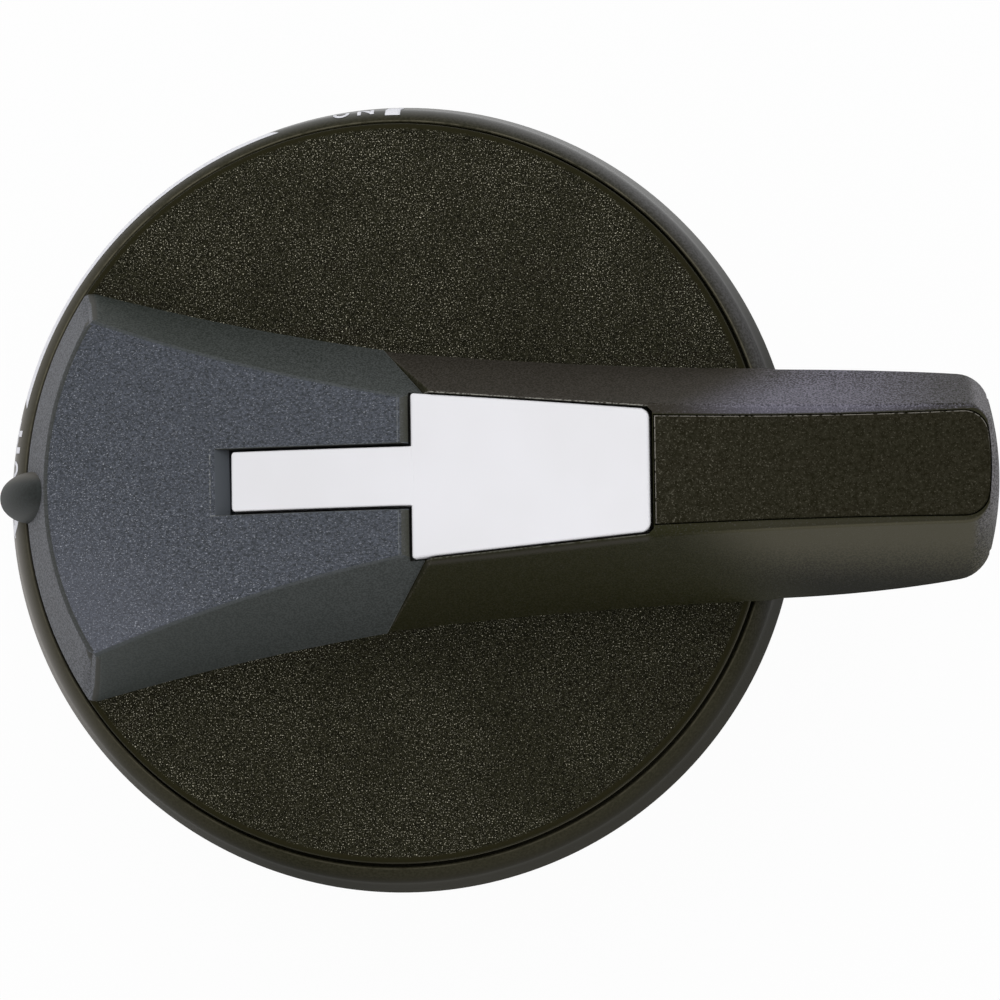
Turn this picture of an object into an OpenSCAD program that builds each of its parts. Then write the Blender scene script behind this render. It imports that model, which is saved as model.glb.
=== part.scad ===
// Lever-operated rotary battery switch, panel mounted, with a padlocking slider.
// Origin: switch axis at the panel plane. +Z towards the operator, +X along the grip at OFF.
// Millimetres.

/* [Dial ring] */
// radius of the dial ring at the panel
ring_r = 39; // [37:0.5:42]
// height of the ring's shoulder over the panel
ring_h = 8.8; // [8:0.1:9.4]
// thickness of the ring's floor
floor_t = 5.2; // [4.6:0.1:5.6]
// width of the ring's rim outside the rotor disc
rim_w = 2.8; // [2.6:0.1:3.2]
// height of the disc's face over the panel
disc_z = 9.8; // [9.4:0.1:11]

/* [Handle] */
// distance from the axis to the grip's end
grip_end = 58.75; // [54:0.25:64]
// height of the top face beside the grip inlay's start
top_z = 31.4; // [29:0.1:34]
// half width of the grip at its waist, at disc level
lever_w = 11.2; // [10:0.1:12.4]
// half width of the wedge at its wide end
wedge_w = 20; // [18:0.1:21.5]
// half width of the wedge at the parting line
wedge_n = 13.8; // [13:0.1:14.8]
// radius of the pointer nub
nub_r = 2.5; // [1.5:0.1:3.5]

/* [Lock slider] */
// lift of the padlocking slider, which also sets the height of its slot
lock_lift = 13; // [11:0.5:14]
// length of the padlock slot
slot_l = 10; // [7:0.5:11]
// thickness of the lock blade
blade_t = 6; // [5:0.5:6.5]

/* [Body behind the panel] */
// radius of the body, for a 61 mm panel hole
body_r = 30; // [28:0.5:31]
// depth of the contact housing
body_d = 30; // [27:0.5:36]
// depth of the terminal shroud behind the housing
shroud_d = 24; // [23:0.5:30]
// wall thickness of housing and shroud
wall = 2.2; // [2:0.1:2.4]
// width of each cable exit
exit_w = 18; // [12:1:20]

/* [Contacts and terminals] */
// radius of the terminal studs, M8
stud_r = 4; // [3:0.5:4]
// radius of the round spindle journal
journal_r = 6; // [5.8:0.1:6.4]
// square spindle across flats
square_a = 8; // [7:0.25:8]
// turn from OFF to ON, degrees
turn = 90; // [90:1:90]

/* [Mounting] */
// tapped radius of the mounting inserts, M4
insert_bore = 1.65; // [1.25:0.05:1.65]

/* [Clearances] */
// running clearance of the spindle in its bush, radial
run_c = 0.05; // [0.02:0.01:0.08]
// free gap between bodies that move past each other
gap = 0.3; // [0.25:0.05:0.4]

/* [Hidden] */
$fn = 64;
e = 0.01;
big = 200;

// dial ring
disc_r = ring_r - rim_w;
lip_r = disc_r + gap;
wall_h = ring_h * 0.59;
wall_in = wall_h * 0.18;
shoulder_r = ring_h - wall_h;
rotor_z = floor_t + gap;
stop_r = disc_r * 0.77;
stop_w = disc_r / 9;
stop_a = 12;
stop_mid = 200;
stop_z = floor_t * 0.7;

// housing's neck, in a recess of the ring that also clears the panel hole's edge
neck_r = body_r - 0.4;
recess_r = body_r + 0.9;
seat_d = 0.8;

// surfaces of the grip
top_x = grip_end * 0.4255;
top_r = grip_end * 2.604;
grip_x = top_x + 1;
grip_r = grip_end * 4.545;
waist_x = grip_end * 0.766;
waist_bow = grip_end * 7.18;
lever_slope = 0.25;
under_x = lip_r;
under_z = disc_z + 0.2;
under_r = grip_end * 0.589;
end_r = grip_end * 0.46;
end_slope = 0.051;
end_z = disc_z * 1.276;
corner_r = lever_w * 0.196;
shell_t = 2.2;
rib_t = 1.5;
core_x = ring_r + 1;

// surfaces of the wedge
wedge_front = disc_r * 0.998;
wedge_x0 = -wedge_front * 0.8165;
wedge_x1 = -0.85;
wedge_sag = wedge_w * 0.021;
wedge_slope = 0.29;
front_slope = 0.307;
part_slope = 0.288;
nub_l = nub_r * 1.56;
nub_x = wedge_front - nub_r * 0.608;
nub_z = disc_z - 0.2;

// hub boss of the lever, inside the wedge, and the spindle's screw
hub_l = wedge_n * 0.797;
hub_w = wedge_n * 0.58;
hub_z = disc_z + (top_z - disc_z) * 0.426;
socket_z = hub_z - 2.5;
axle_screw_r = square_a / 4;
axle_screw_l = square_a;
axle_head_r = square_a * 0.425;
axle_head_t = square_a * 0.1875;
axle_washer_r = square_a * 0.525;
axle_washer_t = square_a / 16;

// slider
block_x0 = 3.16;
block_x1 = top_x + 0.45;
block_w0 = lever_w * 0.6786;
block_w1 = lever_w * 0.5045;
block_corner = 0.5;
bar_x0 = -wedge_front * 0.393;
bar_x1 = block_x0 + 0.2;
bar_w0 = lever_w * 0.2634;
bar_w1 = lever_w * 0.2455;
bar_t = 3.6;
ramp_l = 1.4;
ramp_d = 2.4;
slider_drop = 0.15;
pocket_z = top_z - 4.5;
seat_z = pocket_z + gap;

// lock blade, its pins and its latch spring
blade_x0 = block_x0 + 2.24;
blade_x1 = block_x1 - 2.85;
blade_z0 = disc_z + 2 * gap;
slot_x = (blade_x0 + blade_x1) / 2;
slot_z0 = top_z + 0.1 - lock_lift;
slot_h = seat_z - 1.2 - slot_z0;
pin_r = blade_t / 6;
pin_down = 4 * pin_r;
pin_up = 1.4;
latch_w = blade_t * 0.667;
latch_l = 2 * blade_t;
latch_t = 0.4;
latch_off = 1.6;
latch_nose = 0.2;
latch_z = blade_z0 + 3.5;
dimple_d = 0.7;
dimple_h = 2.4;

// inlay
inlay_x0 = block_x1 + 0.65;
inlay_x1 = grip_end - 1.4;
inlay_w = lever_w * 0.4268;
inlay_bow = grip_end * 9.5;
inlay_end_r = grip_end * 0.4085;
inlay_corner_r = lever_w * 0.18;
inlay_t = 1.2;

// screws from the disc into the handle
wedge_screw = [-disc_r * 0.5525, wedge_w * 0.45];
lever_screw = [disc_r * 0.829, lever_w * 0.49];
handle_screw_r = square_a * 0.1875;
handle_head_r = handle_screw_r * 1.8333;
handle_head_t = handle_screw_r * 1.2667;
handle_head_z = rotor_z + gap * 2 / 3;
handle_seat = handle_head_z + handle_head_t;
handle_top = disc_z + handle_screw_r * 4.8;

// spindle, bearing and carrier
inner_r = body_r - wall;
shroud_r = body_r - 0.4;
bush_r = journal_r + 2.5;
seal_t = journal_r * 0.2;
seal_r = journal_r + run_c + seal_t;
seal_z = floor_t - 0.1 - seal_t;
top_plate = body_d / 10;
washer_t = body_d / 50;
washer_r = journal_r * 1.667;
carrier_z1 = -top_plate - gap - washer_t;
carrier_z0 = carrier_z1 - body_d * 0.303;
carrier_r = inner_r * 0.7374;
cup_r = journal_r * 1.533;
cup_d = body_d / 12;
disc_spring_r0 = journal_r;
disc_spring_r1 = journal_r * 1.467;
disc_spring_gap = 0.1;

// contacts
plate_t = body_d / 10;
tip_t = body_d / 30;
bar_z1 = -body_d * 0.533;
bar_z0 = bar_z1 - plate_t;
stud_x = inner_r * 0.6115;
tip_r = inner_r * 0.144;
contact_w = tip_r * 1.15;
contact_hub_r = inner_r * 0.324;
clip_t = tip_t;
clip_r1 = journal_r * 1.233;
clip_r0 = square_a / 2 - 0.5;
clip_gap = journal_r * 0.533;
spindle_z0 = bar_z0 - 1.8 * clip_t;
head_t = plate_t;
head_r = stud_r + 2.5;
head_z1 = bar_z0 - 2 * tip_t - gap;
base_z1 = head_z1 - head_t;
base_z0 = -body_d;
rib_w = inner_r * 0.108;
rib_l = inner_r * 0.863;

// index springs and the carrier's notches
nose_in = carrier_r * 0.044;
nose_x = carrier_r * 0.146;
nose_y = carrier_r * 0.127;
leaf_x = carrier_r * 0.4;
leaf_y = carrier_r * 0.195;
leaf_t = carrier_r * 0.0293;
leaf_w = (carrier_z1 - carrier_z0) * 0.77;
leaf_z0 = (carrier_z1 + carrier_z0 - leaf_w) / 2;
post_r = carrier_r * 0.0585;
post_y = carrier_r * 0.166;
post_z0 = carrier_z0 + tip_t;
post_z1 = -top_plate * 0.4;
notch_x = carrier_r * 0.195;
notch_y = notch_x * nose_y / nose_x;
notch_c = 1.4 * gap;

// screws of shroud, base and housing
boss_r = inner_r * 0.108;
boss_at = inner_r - boss_r * 0.933;
screw_r = boss_r / 2;
screw_c = 0.2;
screw_head_r = boss_r * 0.933;
screw_head_t = boss_r * 0.667;
screw_top = stop_z - 2 * gap;
lug_t = 3;

// terminals and shroud
rear_z = base_z0 - shroud_d;
exit_z = base_z0 - lug_t - 4;
barrier_t = 2;
nut_af = stud_r * 3.25;
flat_r = stud_r * 2;
spring_r = stud_r * 1.7;
split_w = stud_r * 0.225;
base_nut_t = stud_r;
flat_t = stud_r * 0.4;
spring_t = stud_r * 0.55;
nut_t = stud_r * 1.6;
base_nut_z = base_z0 - base_nut_t;
flat_z = base_nut_z - flat_t;
spring_z = flat_z - spring_t;
nut_z = spring_z - nut_t;
stud_z = rear_z + 1.7;
stud_tip = stud_r * 0.15;

// mounting
rim = ring_r - body_r;
mount_r = body_r + rim * 0.4;
insert_wall = 0.87;
insert_r = insert_bore + insert_wall;
insert_l = floor_t - 0.6;
gasket_t = 1;
gasket_r0 = body_r + rim * 0.744;
gasket_r1 = body_r + rim * 0.933;

// ring of given radii between two heights
module tube(r1, r0, z0, z1) {
  translate([0, 0, z0])
    difference() {
      cylinder(r = r1, h = z1 - z0);
      translate([0, 0, -1]) cylinder(r = r0, h = z1 - z0 + 2);
    }
}

// cylinder between two heights
module rod(r, z0, z1) {
  translate([0, 0, z0]) cylinder(r = r, h = z1 - z0);
}

// square bar between two heights
module sq(a, z0, z1) {
  translate([-a / 2, -a / 2, z0]) cube([a, a, z1 - z0]);
}

// cross recess, cut to both sides of a head's face
module cross(l, w, d) {
  for (a = [0, 90]) rotate([0, 0, a]) translate([-l / 2, -w / 2, -d]) cube([l, w, 2 * d]);
}

module hexnut(af, z0, z1, bore) {
  translate([0, 0, z0])
    difference() {
      cylinder(r = af / sqrt(3), h = z1 - z0, $fn = 6);
      translate([0, 0, -1]) cylinder(r = bore, h = z1 - z0 + 2);
    }
}

// sector of an annulus, centred on angle mid, half angle ha (under 90)
module sector(r0, r1, mid, ha, z0, z1) {
  rotate([0, 0, mid])
    translate([0, 0, z0])
      linear_extrude(z1 - z0)
        intersection() {
          difference() {
            circle(r = r1);
            circle(r = r0);
          }
          polygon([[0, 0], 2 * r1 * [cos(ha), -sin(ha)], [2.5 * r1, 0], 2 * r1 * [cos(ha), sin(ha)]]);
        }
}

module four(r) {
  for (i = [0:3]) rotate([0, 0, 45 + 90 * i]) translate([r, 0, 0]) children();
}

module two_studs() {
  for (s = [-1, 1]) translate([s * stud_x, 0, 0]) children();
}

module at_handle_screws() {
  for (s = [-1, 1])
    for (p = [wedge_screw, lever_screw]) translate([p[0], s * p[1], 0]) children();
}

module at_blade_pins() {
  for (x = [blade_x0 + 2 * pin_r, blade_x1 - 2 * pin_r]) translate([x, 0, 0]) children();
}

// long round cutter that leaves one flared side wall with a draft
module side_cutter(xc, yw, bow, slope, side) {
  a = atan(slope);
  translate([xc, side * (yw + bow / pow(cos(a), 2)), disc_z])
    rotate([side * a, 0, 0])
      cylinder(r = bow / cos(a), h = 2 * big, center = true, $fn = 900);
}

// everything under the domed top of wedge, slider and front of lever
module under_dome(drop) {
  translate([top_x, 0, top_z - top_r])
    rotate([90, 0, 0])
      cylinder(r = top_r - drop, h = big, center = true, $fn = 480);
}

// saddle cutter over the grip
module grip_saddle(drop) {
  translate([grip_x, 0, top_z + grip_r - drop])
    rotate([90, 0, 0])
      cylinder(r = grip_r, h = big, center = true, $fn = 600);
}

// half space left of the slanted parting plane
module left_of_part() {
  translate([wedge_x1, -big / 2, disc_z])
    rotate([0, atan(part_slope), 0])
      translate([-big, 0, -big / 2]) cube(big);
}

// finger ramp at the slot's closed end
module slot_ramp() {
  z = top_z - pow(bar_x0 - top_x, 2) / (2 * top_r);
  x = bar_x0 - gap;
  translate([0, bar_w0 + gap, 0]) rotate([90, 0, 0]) linear_extrude(2 * (bar_w0 + gap))
    polygon([[x, z - ramp_d], [x + e, z - ramp_d], [x + e, 2 * top_z], [x - 2 * ramp_l, 2 * top_z],
      [x - ramp_l * (1 + 1 / ramp_d), z + 1]]);
}

// outline of the slider's block, grown by c
module block_plan(c) {
  k = block_corner;
  x1 = block_x1 + c;
  polygon([[block_x0 - c, -block_w0 - c], [x1 - k, -block_w1 - c], [x1, k - block_w1 - c],
    [x1, block_w1 + c - k], [x1 - k, block_w1 + c], [block_x0 - c, block_w0 + c]]);
}

// outline of the slider's bar, grown by c
module bar_plan(c) {
  polygon([[bar_x0 - c, -bar_w0 - c], [bar_x1 + c, -bar_w1 - c],
    [bar_x1 + c, bar_w1 + c], [bar_x0 - c, bar_w0 + c]]);
}

// slot that the slider's bar lies in, open above
module bar_slot() difference() {
  linear_extrude(2 * top_z) bar_plan(gap);
  under_dome(bar_t + slider_drop + gap);
}

// drafted wall with a quarter-round shoulder
module ring_section() {
  x = ring_r - wall_in - shoulder_r;
  polygon([[0, 0], [ring_r, 0], [ring_r - wall_in * 0.1, wall_h * 0.13], [ring_r - wall_in, wall_h],
    [x, wall_h], [x, ring_h], [0, ring_h]]);
  intersection() {
    translate([x, wall_h]) circle(r = shoulder_r);
    translate([0, wall_h]) square([ring_r, ring_h]);
  }
}

module dial_ring() color([0.16, 0.16, 0.15]) difference() {
  rotate_extrude()
    difference() {
      ring_section();
      translate([-1, -1]) square([bush_r + 1, 2 * ring_h]);
      translate([-1, floor_t]) square([lip_r + 1, ring_h]);
      translate([-1, -1]) square([recess_r + 1, seat_d + 1]);
    }
  four(mount_r) rod(insert_r, -1, insert_l);
  four(boss_at) rod(screw_r, 0, screw_top);
  tube(gasket_r1, gasket_r0, -1, gasket_t);
  // groove for the rotor's stop lug
  sector(stop_r - stop_w / 2 - gap, stop_r + stop_w / 2 + gap, stop_mid - turn / 2,
    turn / 2 + stop_a / 2 + gap * 180 / (PI * stop_r), stop_z - gap, ring_h);
}

module panel_gasket() color([0.07, 0.07, 0.07]) tube(gasket_r1, gasket_r0, 0, gasket_t);

module mount_inserts() color([0.75, 0.6, 0.3]) four(mount_r)
  tube(insert_r, insert_bore, 0, insert_l);

// leaf spring with a V nose that seats in a notch of the carrier
module leaf_plan() translate([0, carrier_r - nose_in]) polygon([
  [-leaf_x, leaf_y], [-nose_x, nose_y], [0, 0], [nose_x, nose_y], [leaf_x, leaf_y],
  [leaf_x, leaf_y + leaf_t], [nose_x - leaf_t / 3, nose_y + leaf_t], [0, 1.5 * leaf_t],
  [leaf_t / 3 - nose_x, nose_y + leaf_t], [-leaf_x, leaf_y + leaf_t]]);

module index_posts(z0, z1) {
  for (s = [0, 180]) rotate([0, 0, s])
    for (x = [-1, 1])
      translate([x * (leaf_x + post_r + gap), carrier_r + post_y, 0]) rod(post_r, z0, z1);
}

module housing() color([0.12, 0.12, 0.12]) difference() {
  union() {
    rod(body_r, base_z0, 0);
    rod(neck_r, -1, seat_d);
  }
  // room for the contacts, between four screw bosses
  difference() {
    rod(inner_r, base_z0 - 1, -top_plate);
    four(boss_at) rod(boss_r, base_z1, 1);
  }
  rod(bush_r, base_z0, 2 * seat_d);
  four(boss_at) rod(screw_r, base_z0, 2 * seat_d);
  index_posts(-top_plate - 1, post_z1);
}

module index_pins() color([0.7, 0.7, 0.72]) index_posts(post_z0, post_z1);

module index_springs() color([0.75, 0.75, 0.78])
  for (s = [0, 180]) rotate([0, 0, s])
    translate([0, 0, leaf_z0]) linear_extrude(leaf_w) leaf_plan();

module bearing_bush() color([0.72, 0.55, 0.25])
  tube(bush_r, journal_r + run_c, -top_plate, seal_z - seal_t);

module shaft_seal() color([0.05, 0.05, 0.05])
  translate([0, 0, seal_z])
    rotate_extrude() translate([seal_r, 0]) circle(r = seal_t);

module terminal_base() color([0.42, 0.12, 0.08]) difference() {
  union() {
    rod(inner_r, base_z0, base_z1);
    // arc rib between the two fixed contacts
    translate([-rib_w / 2, -rib_l / 2, base_z1 - 1]) cube([rib_w, rib_l, head_t + 1]);
  }
  two_studs() rod(stud_r, base_z0 - 1, base_z1 + 1);
  four(boss_at) rod(screw_r + screw_c, base_z0 - 1, base_z1 + 1);
}

module terminal_studs() color([0.8, 0.62, 0.35]) two_studs() {
  rod(head_r, base_z1, head_z1);
  rod(stud_r, stud_z + stud_tip, base_z1);
  translate([0, 0, stud_z]) cylinder(r1 = stud_r - stud_tip, r2 = stud_r, h = stud_tip);
}

module fixed_tips() color([0.85, 0.85, 0.87]) two_studs() rod(tip_r * 1.05, head_z1, head_z1 + tip_t);

module base_nuts() color([0.8, 0.66, 0.35]) two_studs() hexnut(nut_af, base_nut_z, base_z0, stud_r);

module flat_washers() color([0.78, 0.78, 0.8]) two_studs() tube(flat_r, stud_r, flat_z, base_nut_z);

module spring_washers() color([0.6, 0.6, 0.62]) two_studs() difference() {
  tube(spring_r, stud_r, spring_z, flat_z);
  // slanted split
  rotate([0, 0, 30]) translate([0, -split_w / 2, spring_z - 1]) rotate([20, 0, 0])
    cube([2 * spring_r, split_w, 3 * spring_t]);
}

module stud_nuts() color([0.8, 0.66, 0.35]) two_studs() hexnut(nut_af, nut_z, spring_z, stud_r);

module terminal_shroud() color([0.11, 0.11, 0.11]) difference() {
  union() {
    tube(shroud_r, inner_r, rear_z, base_z0);
    // lugs under the housing's screws
    intersection() {
      four(boss_at) translate([0, 0, base_z0 - lug_t]) union() {
        cylinder(r = boss_r, h = lug_t);
        translate([0, -boss_r, 0]) cube([3 * boss_r, 2 * boss_r, lug_t]);
      }
      rod(shroud_r - wall / 4, rear_z, base_z0);
    }
  }
  four(boss_at) rod(screw_r + screw_c, rear_z - 1, base_z0 + 1);
  // cable exits, open to the rear
  for (s = [0, 180]) rotate([0, 0, s]) {
    translate([inner_r / 2, -exit_w / 2, rear_z - 1]) cube([body_r, exit_w, exit_z - rear_z + 1]);
    translate([inner_r / 2, 0, exit_z]) rotate([0, 90, 0]) intersection() {
      cylinder(r = exit_w / 2, h = body_r);
      translate([-4, -exit_w, -1]) cube([exit_w, 2 * exit_w, 2 * body_r]);
    }
  }
}

module phase_barrier() color([0.5, 0.16, 0.1]) intersection() {
  translate([-barrier_t / 2, -body_r, rear_z + 2]) cube([barrier_t, 2 * body_r, shroud_d - 2]);
  rod(inner_r, rear_z - 1, base_z0);
}

module housing_screws() color([0.75, 0.75, 0.77]) four(boss_at) {
  z = base_z0 - lug_t;
  difference() {
    rod(screw_head_r, z - screw_head_t, z);
    translate([0, 0, z - screw_head_t]) cross(screw_head_r * 1.2, screw_head_r / 4, screw_head_t / 2);
  }
  rod(screw_r, z, screw_top);
}

module rotor_disc() color([0.13, 0.125, 0.11]) difference() {
  union() {
    rod(disc_r, rotor_z, disc_z - 0.5);
    translate([0, 0, disc_z - 0.5]) cylinder(r1 = disc_r, r2 = disc_r - 0.5, h = 0.5);
    // stop lug
    sector(stop_r - stop_w / 2, stop_r + stop_w / 2, stop_mid, stop_a / 2, stop_z, rotor_z + 1);
  }
  sq(square_a, 0, 2 * disc_z);
  at_handle_screws() {
    rod(handle_screw_r, 0, 2 * disc_z);
    rod(handle_head_r, 0, handle_seat);
  }
}

module handle_screws() color([0.7, 0.7, 0.72]) at_handle_screws() {
  difference() {
    rod(handle_head_r, handle_head_z, handle_seat);
    translate([0, 0, handle_head_z]) cross(handle_head_r * 1.2, handle_head_r / 4, handle_head_t / 2);
  }
  rod(handle_screw_r, handle_seat, handle_top);
}

// centre of the round corner at the grip's end, at height z
function corner_y(z) = lever_w + pow(grip_end - corner_r - waist_x, 2) / (2 * waist_bow)
  - lever_slope * (z - disc_z) - corner_r;
function corner_x(z) = grip_end - end_r - end_slope * (z - end_z)
  + sqrt(pow(end_r - corner_r, 2) - pow(corner_y(z), 2));

// all that lies outside one round corner, along its leaning axis
module corner_cutter() {
  p = [corner_x(disc_z), corner_y(disc_z), disc_z];
  d = [corner_x(top_z), corner_y(top_z), top_z] - p;
  aim = atan2(d[1], d[0]);
  face = asin(p[1] / (end_r - corner_r));
  translate(p) rotate([0, 0, aim]) rotate([0, acos(d[2] / norm(d)), 0]) rotate([0, 0, -aim])
    sector(corner_r, 4 * corner_r, (90 + face) / 2, (90 - face) / 2, -disc_z, 2 * top_z);
}

// lever between its side walls, its end and its top, every face moved in by c, open below
module lever_form(c) difference() {
  intersection() {
    union() {
      intersection() {
        translate([-grip_end, -grip_end, 0]) cube([grip_end + grip_x, 2 * grip_end, 2 * top_z]);
        under_dome(c);
      }
      difference() {
        translate([grip_x - e, -grip_end, 0]) cube([grip_end, 2 * grip_end, 2 * top_z]);
        grip_saddle(c);
      }
    }
    // bowed, drafted end
    union() {
      translate([-grip_end, -grip_end, 0]) cube([1.75 * grip_end, 2 * grip_end, 2 * top_z]);
      translate([grip_end - end_r, 0, end_z]) rotate([0, -atan(end_slope), 0])
        cylinder(r = end_r - c, h = big, center = true);
    }
  }
  for (s = [-1, 1]) side_cutter(waist_x, lever_w - c, waist_bow, lever_slope, s);
}

// all above the disc's face, and above the underside that sweeps up past the ring
module above_under() union() {
  translate([-grip_end, -grip_end, disc_z]) cube([grip_end + under_x, 2 * grip_end, 2 * top_z]);
  translate([under_x, 0, under_z + under_r]) rotate([90, 0, 0])
    cylinder(r = under_r, h = big, center = true);
}

// cored-out underside of the grip, with one long rib and two cross ribs left standing
module grip_core() difference() {
  intersection() {
    lever_form(shell_t);
    difference() {
      translate([core_x, -grip_end, 0]) cube([grip_end, 2 * grip_end, 2 * top_z]);
      grip_saddle(shell_t + inlay_t);
    }
  }
  translate([0, -rib_t / 2, 0]) cube([2 * grip_end, rib_t, 2 * top_z]);
  for (i = [1, 2]) translate([core_x + i * (grip_end - core_x) / 3 - rib_t, -grip_end, 0])
    cube([rib_t, 2 * grip_end, 2 * top_z]);
}

// outside of one round corner at the inlay's end
module inlay_corner() {
  k = inlay_corner_r;
  y = inlay_w + pow(inlay_x1 - 1.5 * k - waist_x, 2) / (2 * inlay_bow) - k - 2 * e;
  face = asin(y / (inlay_end_r - k));
  translate([inlay_x1 - inlay_end_r + (inlay_end_r - k) * cos(face) - 2 * e, y]) difference() {
    polygon([[0, 0], [0, 3 * k], [3 * k, 3 * k], 4 * k * [cos(face), sin(face)]]);
    circle(r = k);
  }
}

module inlay_plan() intersection() {
  difference() {
    translate([inlay_x0, -2 * inlay_w]) square([inlay_x1 - inlay_x0, 4 * inlay_w]);
    for (s = [-1, 1]) translate([waist_x, s * (inlay_w + inlay_bow)]) circle(r = inlay_bow, $fn = 900);
    for (m = [0, 1]) mirror([0, m]) inlay_corner();
  }
  translate([inlay_x1 - inlay_end_r, 0]) union() {
    circle(r = inlay_end_r);
    translate([-grip_end, -grip_end]) square([1.2 * grip_end, 2 * grip_end]);
  }
}

module lever_shell() color([0.17, 0.17, 0.19]) difference() {
  union() {
    difference() {
      intersection() {
        lever_form(0);
        above_under();
      }
      for (m = [0, 1]) mirror([0, m, 0]) corner_cutter();
      left_of_part();
    }
    translate([-hub_l, -hub_w, disc_z]) cube([hub_l + block_x0, 2 * hub_w, hub_z - disc_z]);
  }
  grip_core();
  // pocket of the slider's block and bar, and the blade's channel
  translate([0, 0, pocket_z]) linear_extrude(top_z) block_plan(gap);
  translate([-hub_l, -block_w0 - gap, pocket_z])
    cube([hub_l + block_x0 + gap, 2 * (block_w0 + gap), top_z]);
  bar_slot();
  translate([blade_x0 - gap, -blade_t / 2 - gap, blade_z0 - gap])
    cube([blade_x1 - blade_x0 + 2 * gap, blade_t + 2 * gap, top_z]);
  // pocket of the latch spring
  translate([slot_x - latch_w / 2 - gap, blade_t / 2, blade_z0 - gap])
    cube([latch_w + 2 * gap, latch_off + latch_t, latch_l + 2 * gap]);
  intersection() {
    linear_extrude(2 * top_z) inlay_plan();
    grip_saddle(inlay_t);
  }
  // spindle socket, its screw and the way in for its head
  sq(square_a, disc_z - 1, socket_z);
  rod(axle_screw_r, disc_z, hub_z + 1);
  rod(axle_washer_r + gap, hub_z, 2 * top_z);
  at_handle_screws() rod(handle_screw_r, rotor_z, handle_top);
}

module grip_inlay() color([0.14, 0.14, 0.12]) intersection() {
  difference() {
    linear_extrude(2 * top_z) inlay_plan();
    grip_saddle(0);
  }
  grip_saddle(inlay_t);
}

// wedge before its pockets: cone in front, flared side walls, dome on top
module wedge_form() difference() {
  intersection() {
    translate([0, 0, disc_z])
      cylinder(r1 = wedge_front, r2 = wedge_front - top_z * front_slope, h = top_z);
    under_dome(0);
    left_of_part();
  }
  // walls bowed through the two named half widths
  l = wedge_x1 - wedge_x0;
  t = atan((wedge_w - wedge_n) / l);
  bow = l * l / (8 * wedge_sag);
  xm = (wedge_x0 + wedge_x1) / 2 + bow * sin(t);
  ym = (wedge_w + wedge_n) / 2 - wedge_sag - bow * (1 - cos(t));
  for (s = [-1, 1]) side_cutter(xm, ym, bow, wedge_slope, s);
}

// pointer over the ring's lip: an ogive on a short round neck, flat below
module nub() intersection() {
  bow = (nub_l * nub_l + nub_r * nub_r) / (2 * nub_r);
  union() {
    translate([-nub_x, 0, nub_z]) rotate([0, -90, 0]) rotate_extrude()
      intersection() {
        translate([nub_r - bow, 0]) circle(r = bow);
        square([nub_l, 2 * nub_l]);
      }
    translate([-nub_x, 0, nub_z]) rotate([0, 90, 0]) cylinder(r = nub_r, h = nub_l);
  }
  translate([-2 * disc_r, -2 * nub_r, disc_z]) cube([2 * disc_r, 4 * nub_r, 4 * nub_r]);
}

module pointer_cover() color([0.24, 0.26, 0.28]) difference() {
  union() {
    wedge_form();
    nub();
  }
  // cavity over the lever's hub
  translate([-hub_l - gap, -hub_w - gap, disc_z - 1])
    cube([2 * hub_l, 2 * (hub_w + gap), hub_z + gap - disc_z + 3]);
  bar_slot();
  translate([0, 0, pocket_z]) linear_extrude(top_z) block_plan(gap);
  slot_ramp();
  at_handle_screws() rod(handle_screw_r, rotor_z, handle_top);
}

module spindle() color([0.66, 0.66, 0.68]) difference() {
  union() {
    sq(square_a, spindle_z0, socket_z);
    rod(journal_r, carrier_z1, rotor_z);
  }
  rod(axle_screw_r, socket_z - axle_screw_l, socket_z + 1);
  // groove for the clip
  tube(square_a, clip_r0, bar_z0 - clip_t, bar_z0);
}

module spindle_screw() color([0.7, 0.7, 0.72]) {
  z = hub_z + axle_washer_t;
  difference() {
    rod(axle_head_r, z, z + axle_head_t);
    translate([0, 0, z + axle_head_t]) cross(axle_head_r * 1.2, axle_head_r / 4, axle_head_t / 2);
  }
  rod(axle_screw_r, socket_z - axle_screw_l, z);
}

module screw_washer() color([0.7, 0.7, 0.72])
  tube(axle_washer_r, axle_screw_r, hub_z, hub_z + axle_washer_t);

module thrust_washer() color([0.85, 0.8, 0.6])
  tube(washer_r, journal_r, carrier_z1, carrier_z1 + washer_t);

module contact_carrier() color([0.55, 0.2, 0.12]) difference() {
  rod(carrier_r, carrier_z0, carrier_z1);
  sq(square_a, carrier_z0 - 1, carrier_z1 + 1);
  rod(cup_r, carrier_z0 - 1, carrier_z0 + cup_d);
  // four index notches
  for (a = [0:90:270]) rotate([0, 0, a])
    translate([0, carrier_r - nose_in - notch_c, carrier_z0 - 1])
      linear_extrude(carrier_z1 - carrier_z0 + 2)
        polygon([[0, 0], [notch_x, notch_y], [notch_x, 2 * notch_x], [-notch_x, 2 * notch_x],
          [-notch_x, notch_y]]);
}

// one coned disc spring, high side inside or outside
module disc_spring(z0, z1, outside) translate([0, 0, z0]) rotate_extrude() {
  t = (z1 - z0) / 2;
  a = outside ? 0 : t;
  polygon([[disc_spring_r0, a], [disc_spring_r1, t - a], [disc_spring_r1, 2 * t - a],
    [disc_spring_r0, a + t]]);
}

module contact_spring() color([0.72, 0.72, 0.75]) {
  h = (carrier_z0 + cup_d - bar_z1) / 3;
  for (i = [0:2]) {
    z = bar_z1 + i * h;
    disc_spring(z + disc_spring_gap / 2, z + h - disc_spring_gap / 2, i != 1);
  }
}

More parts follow.
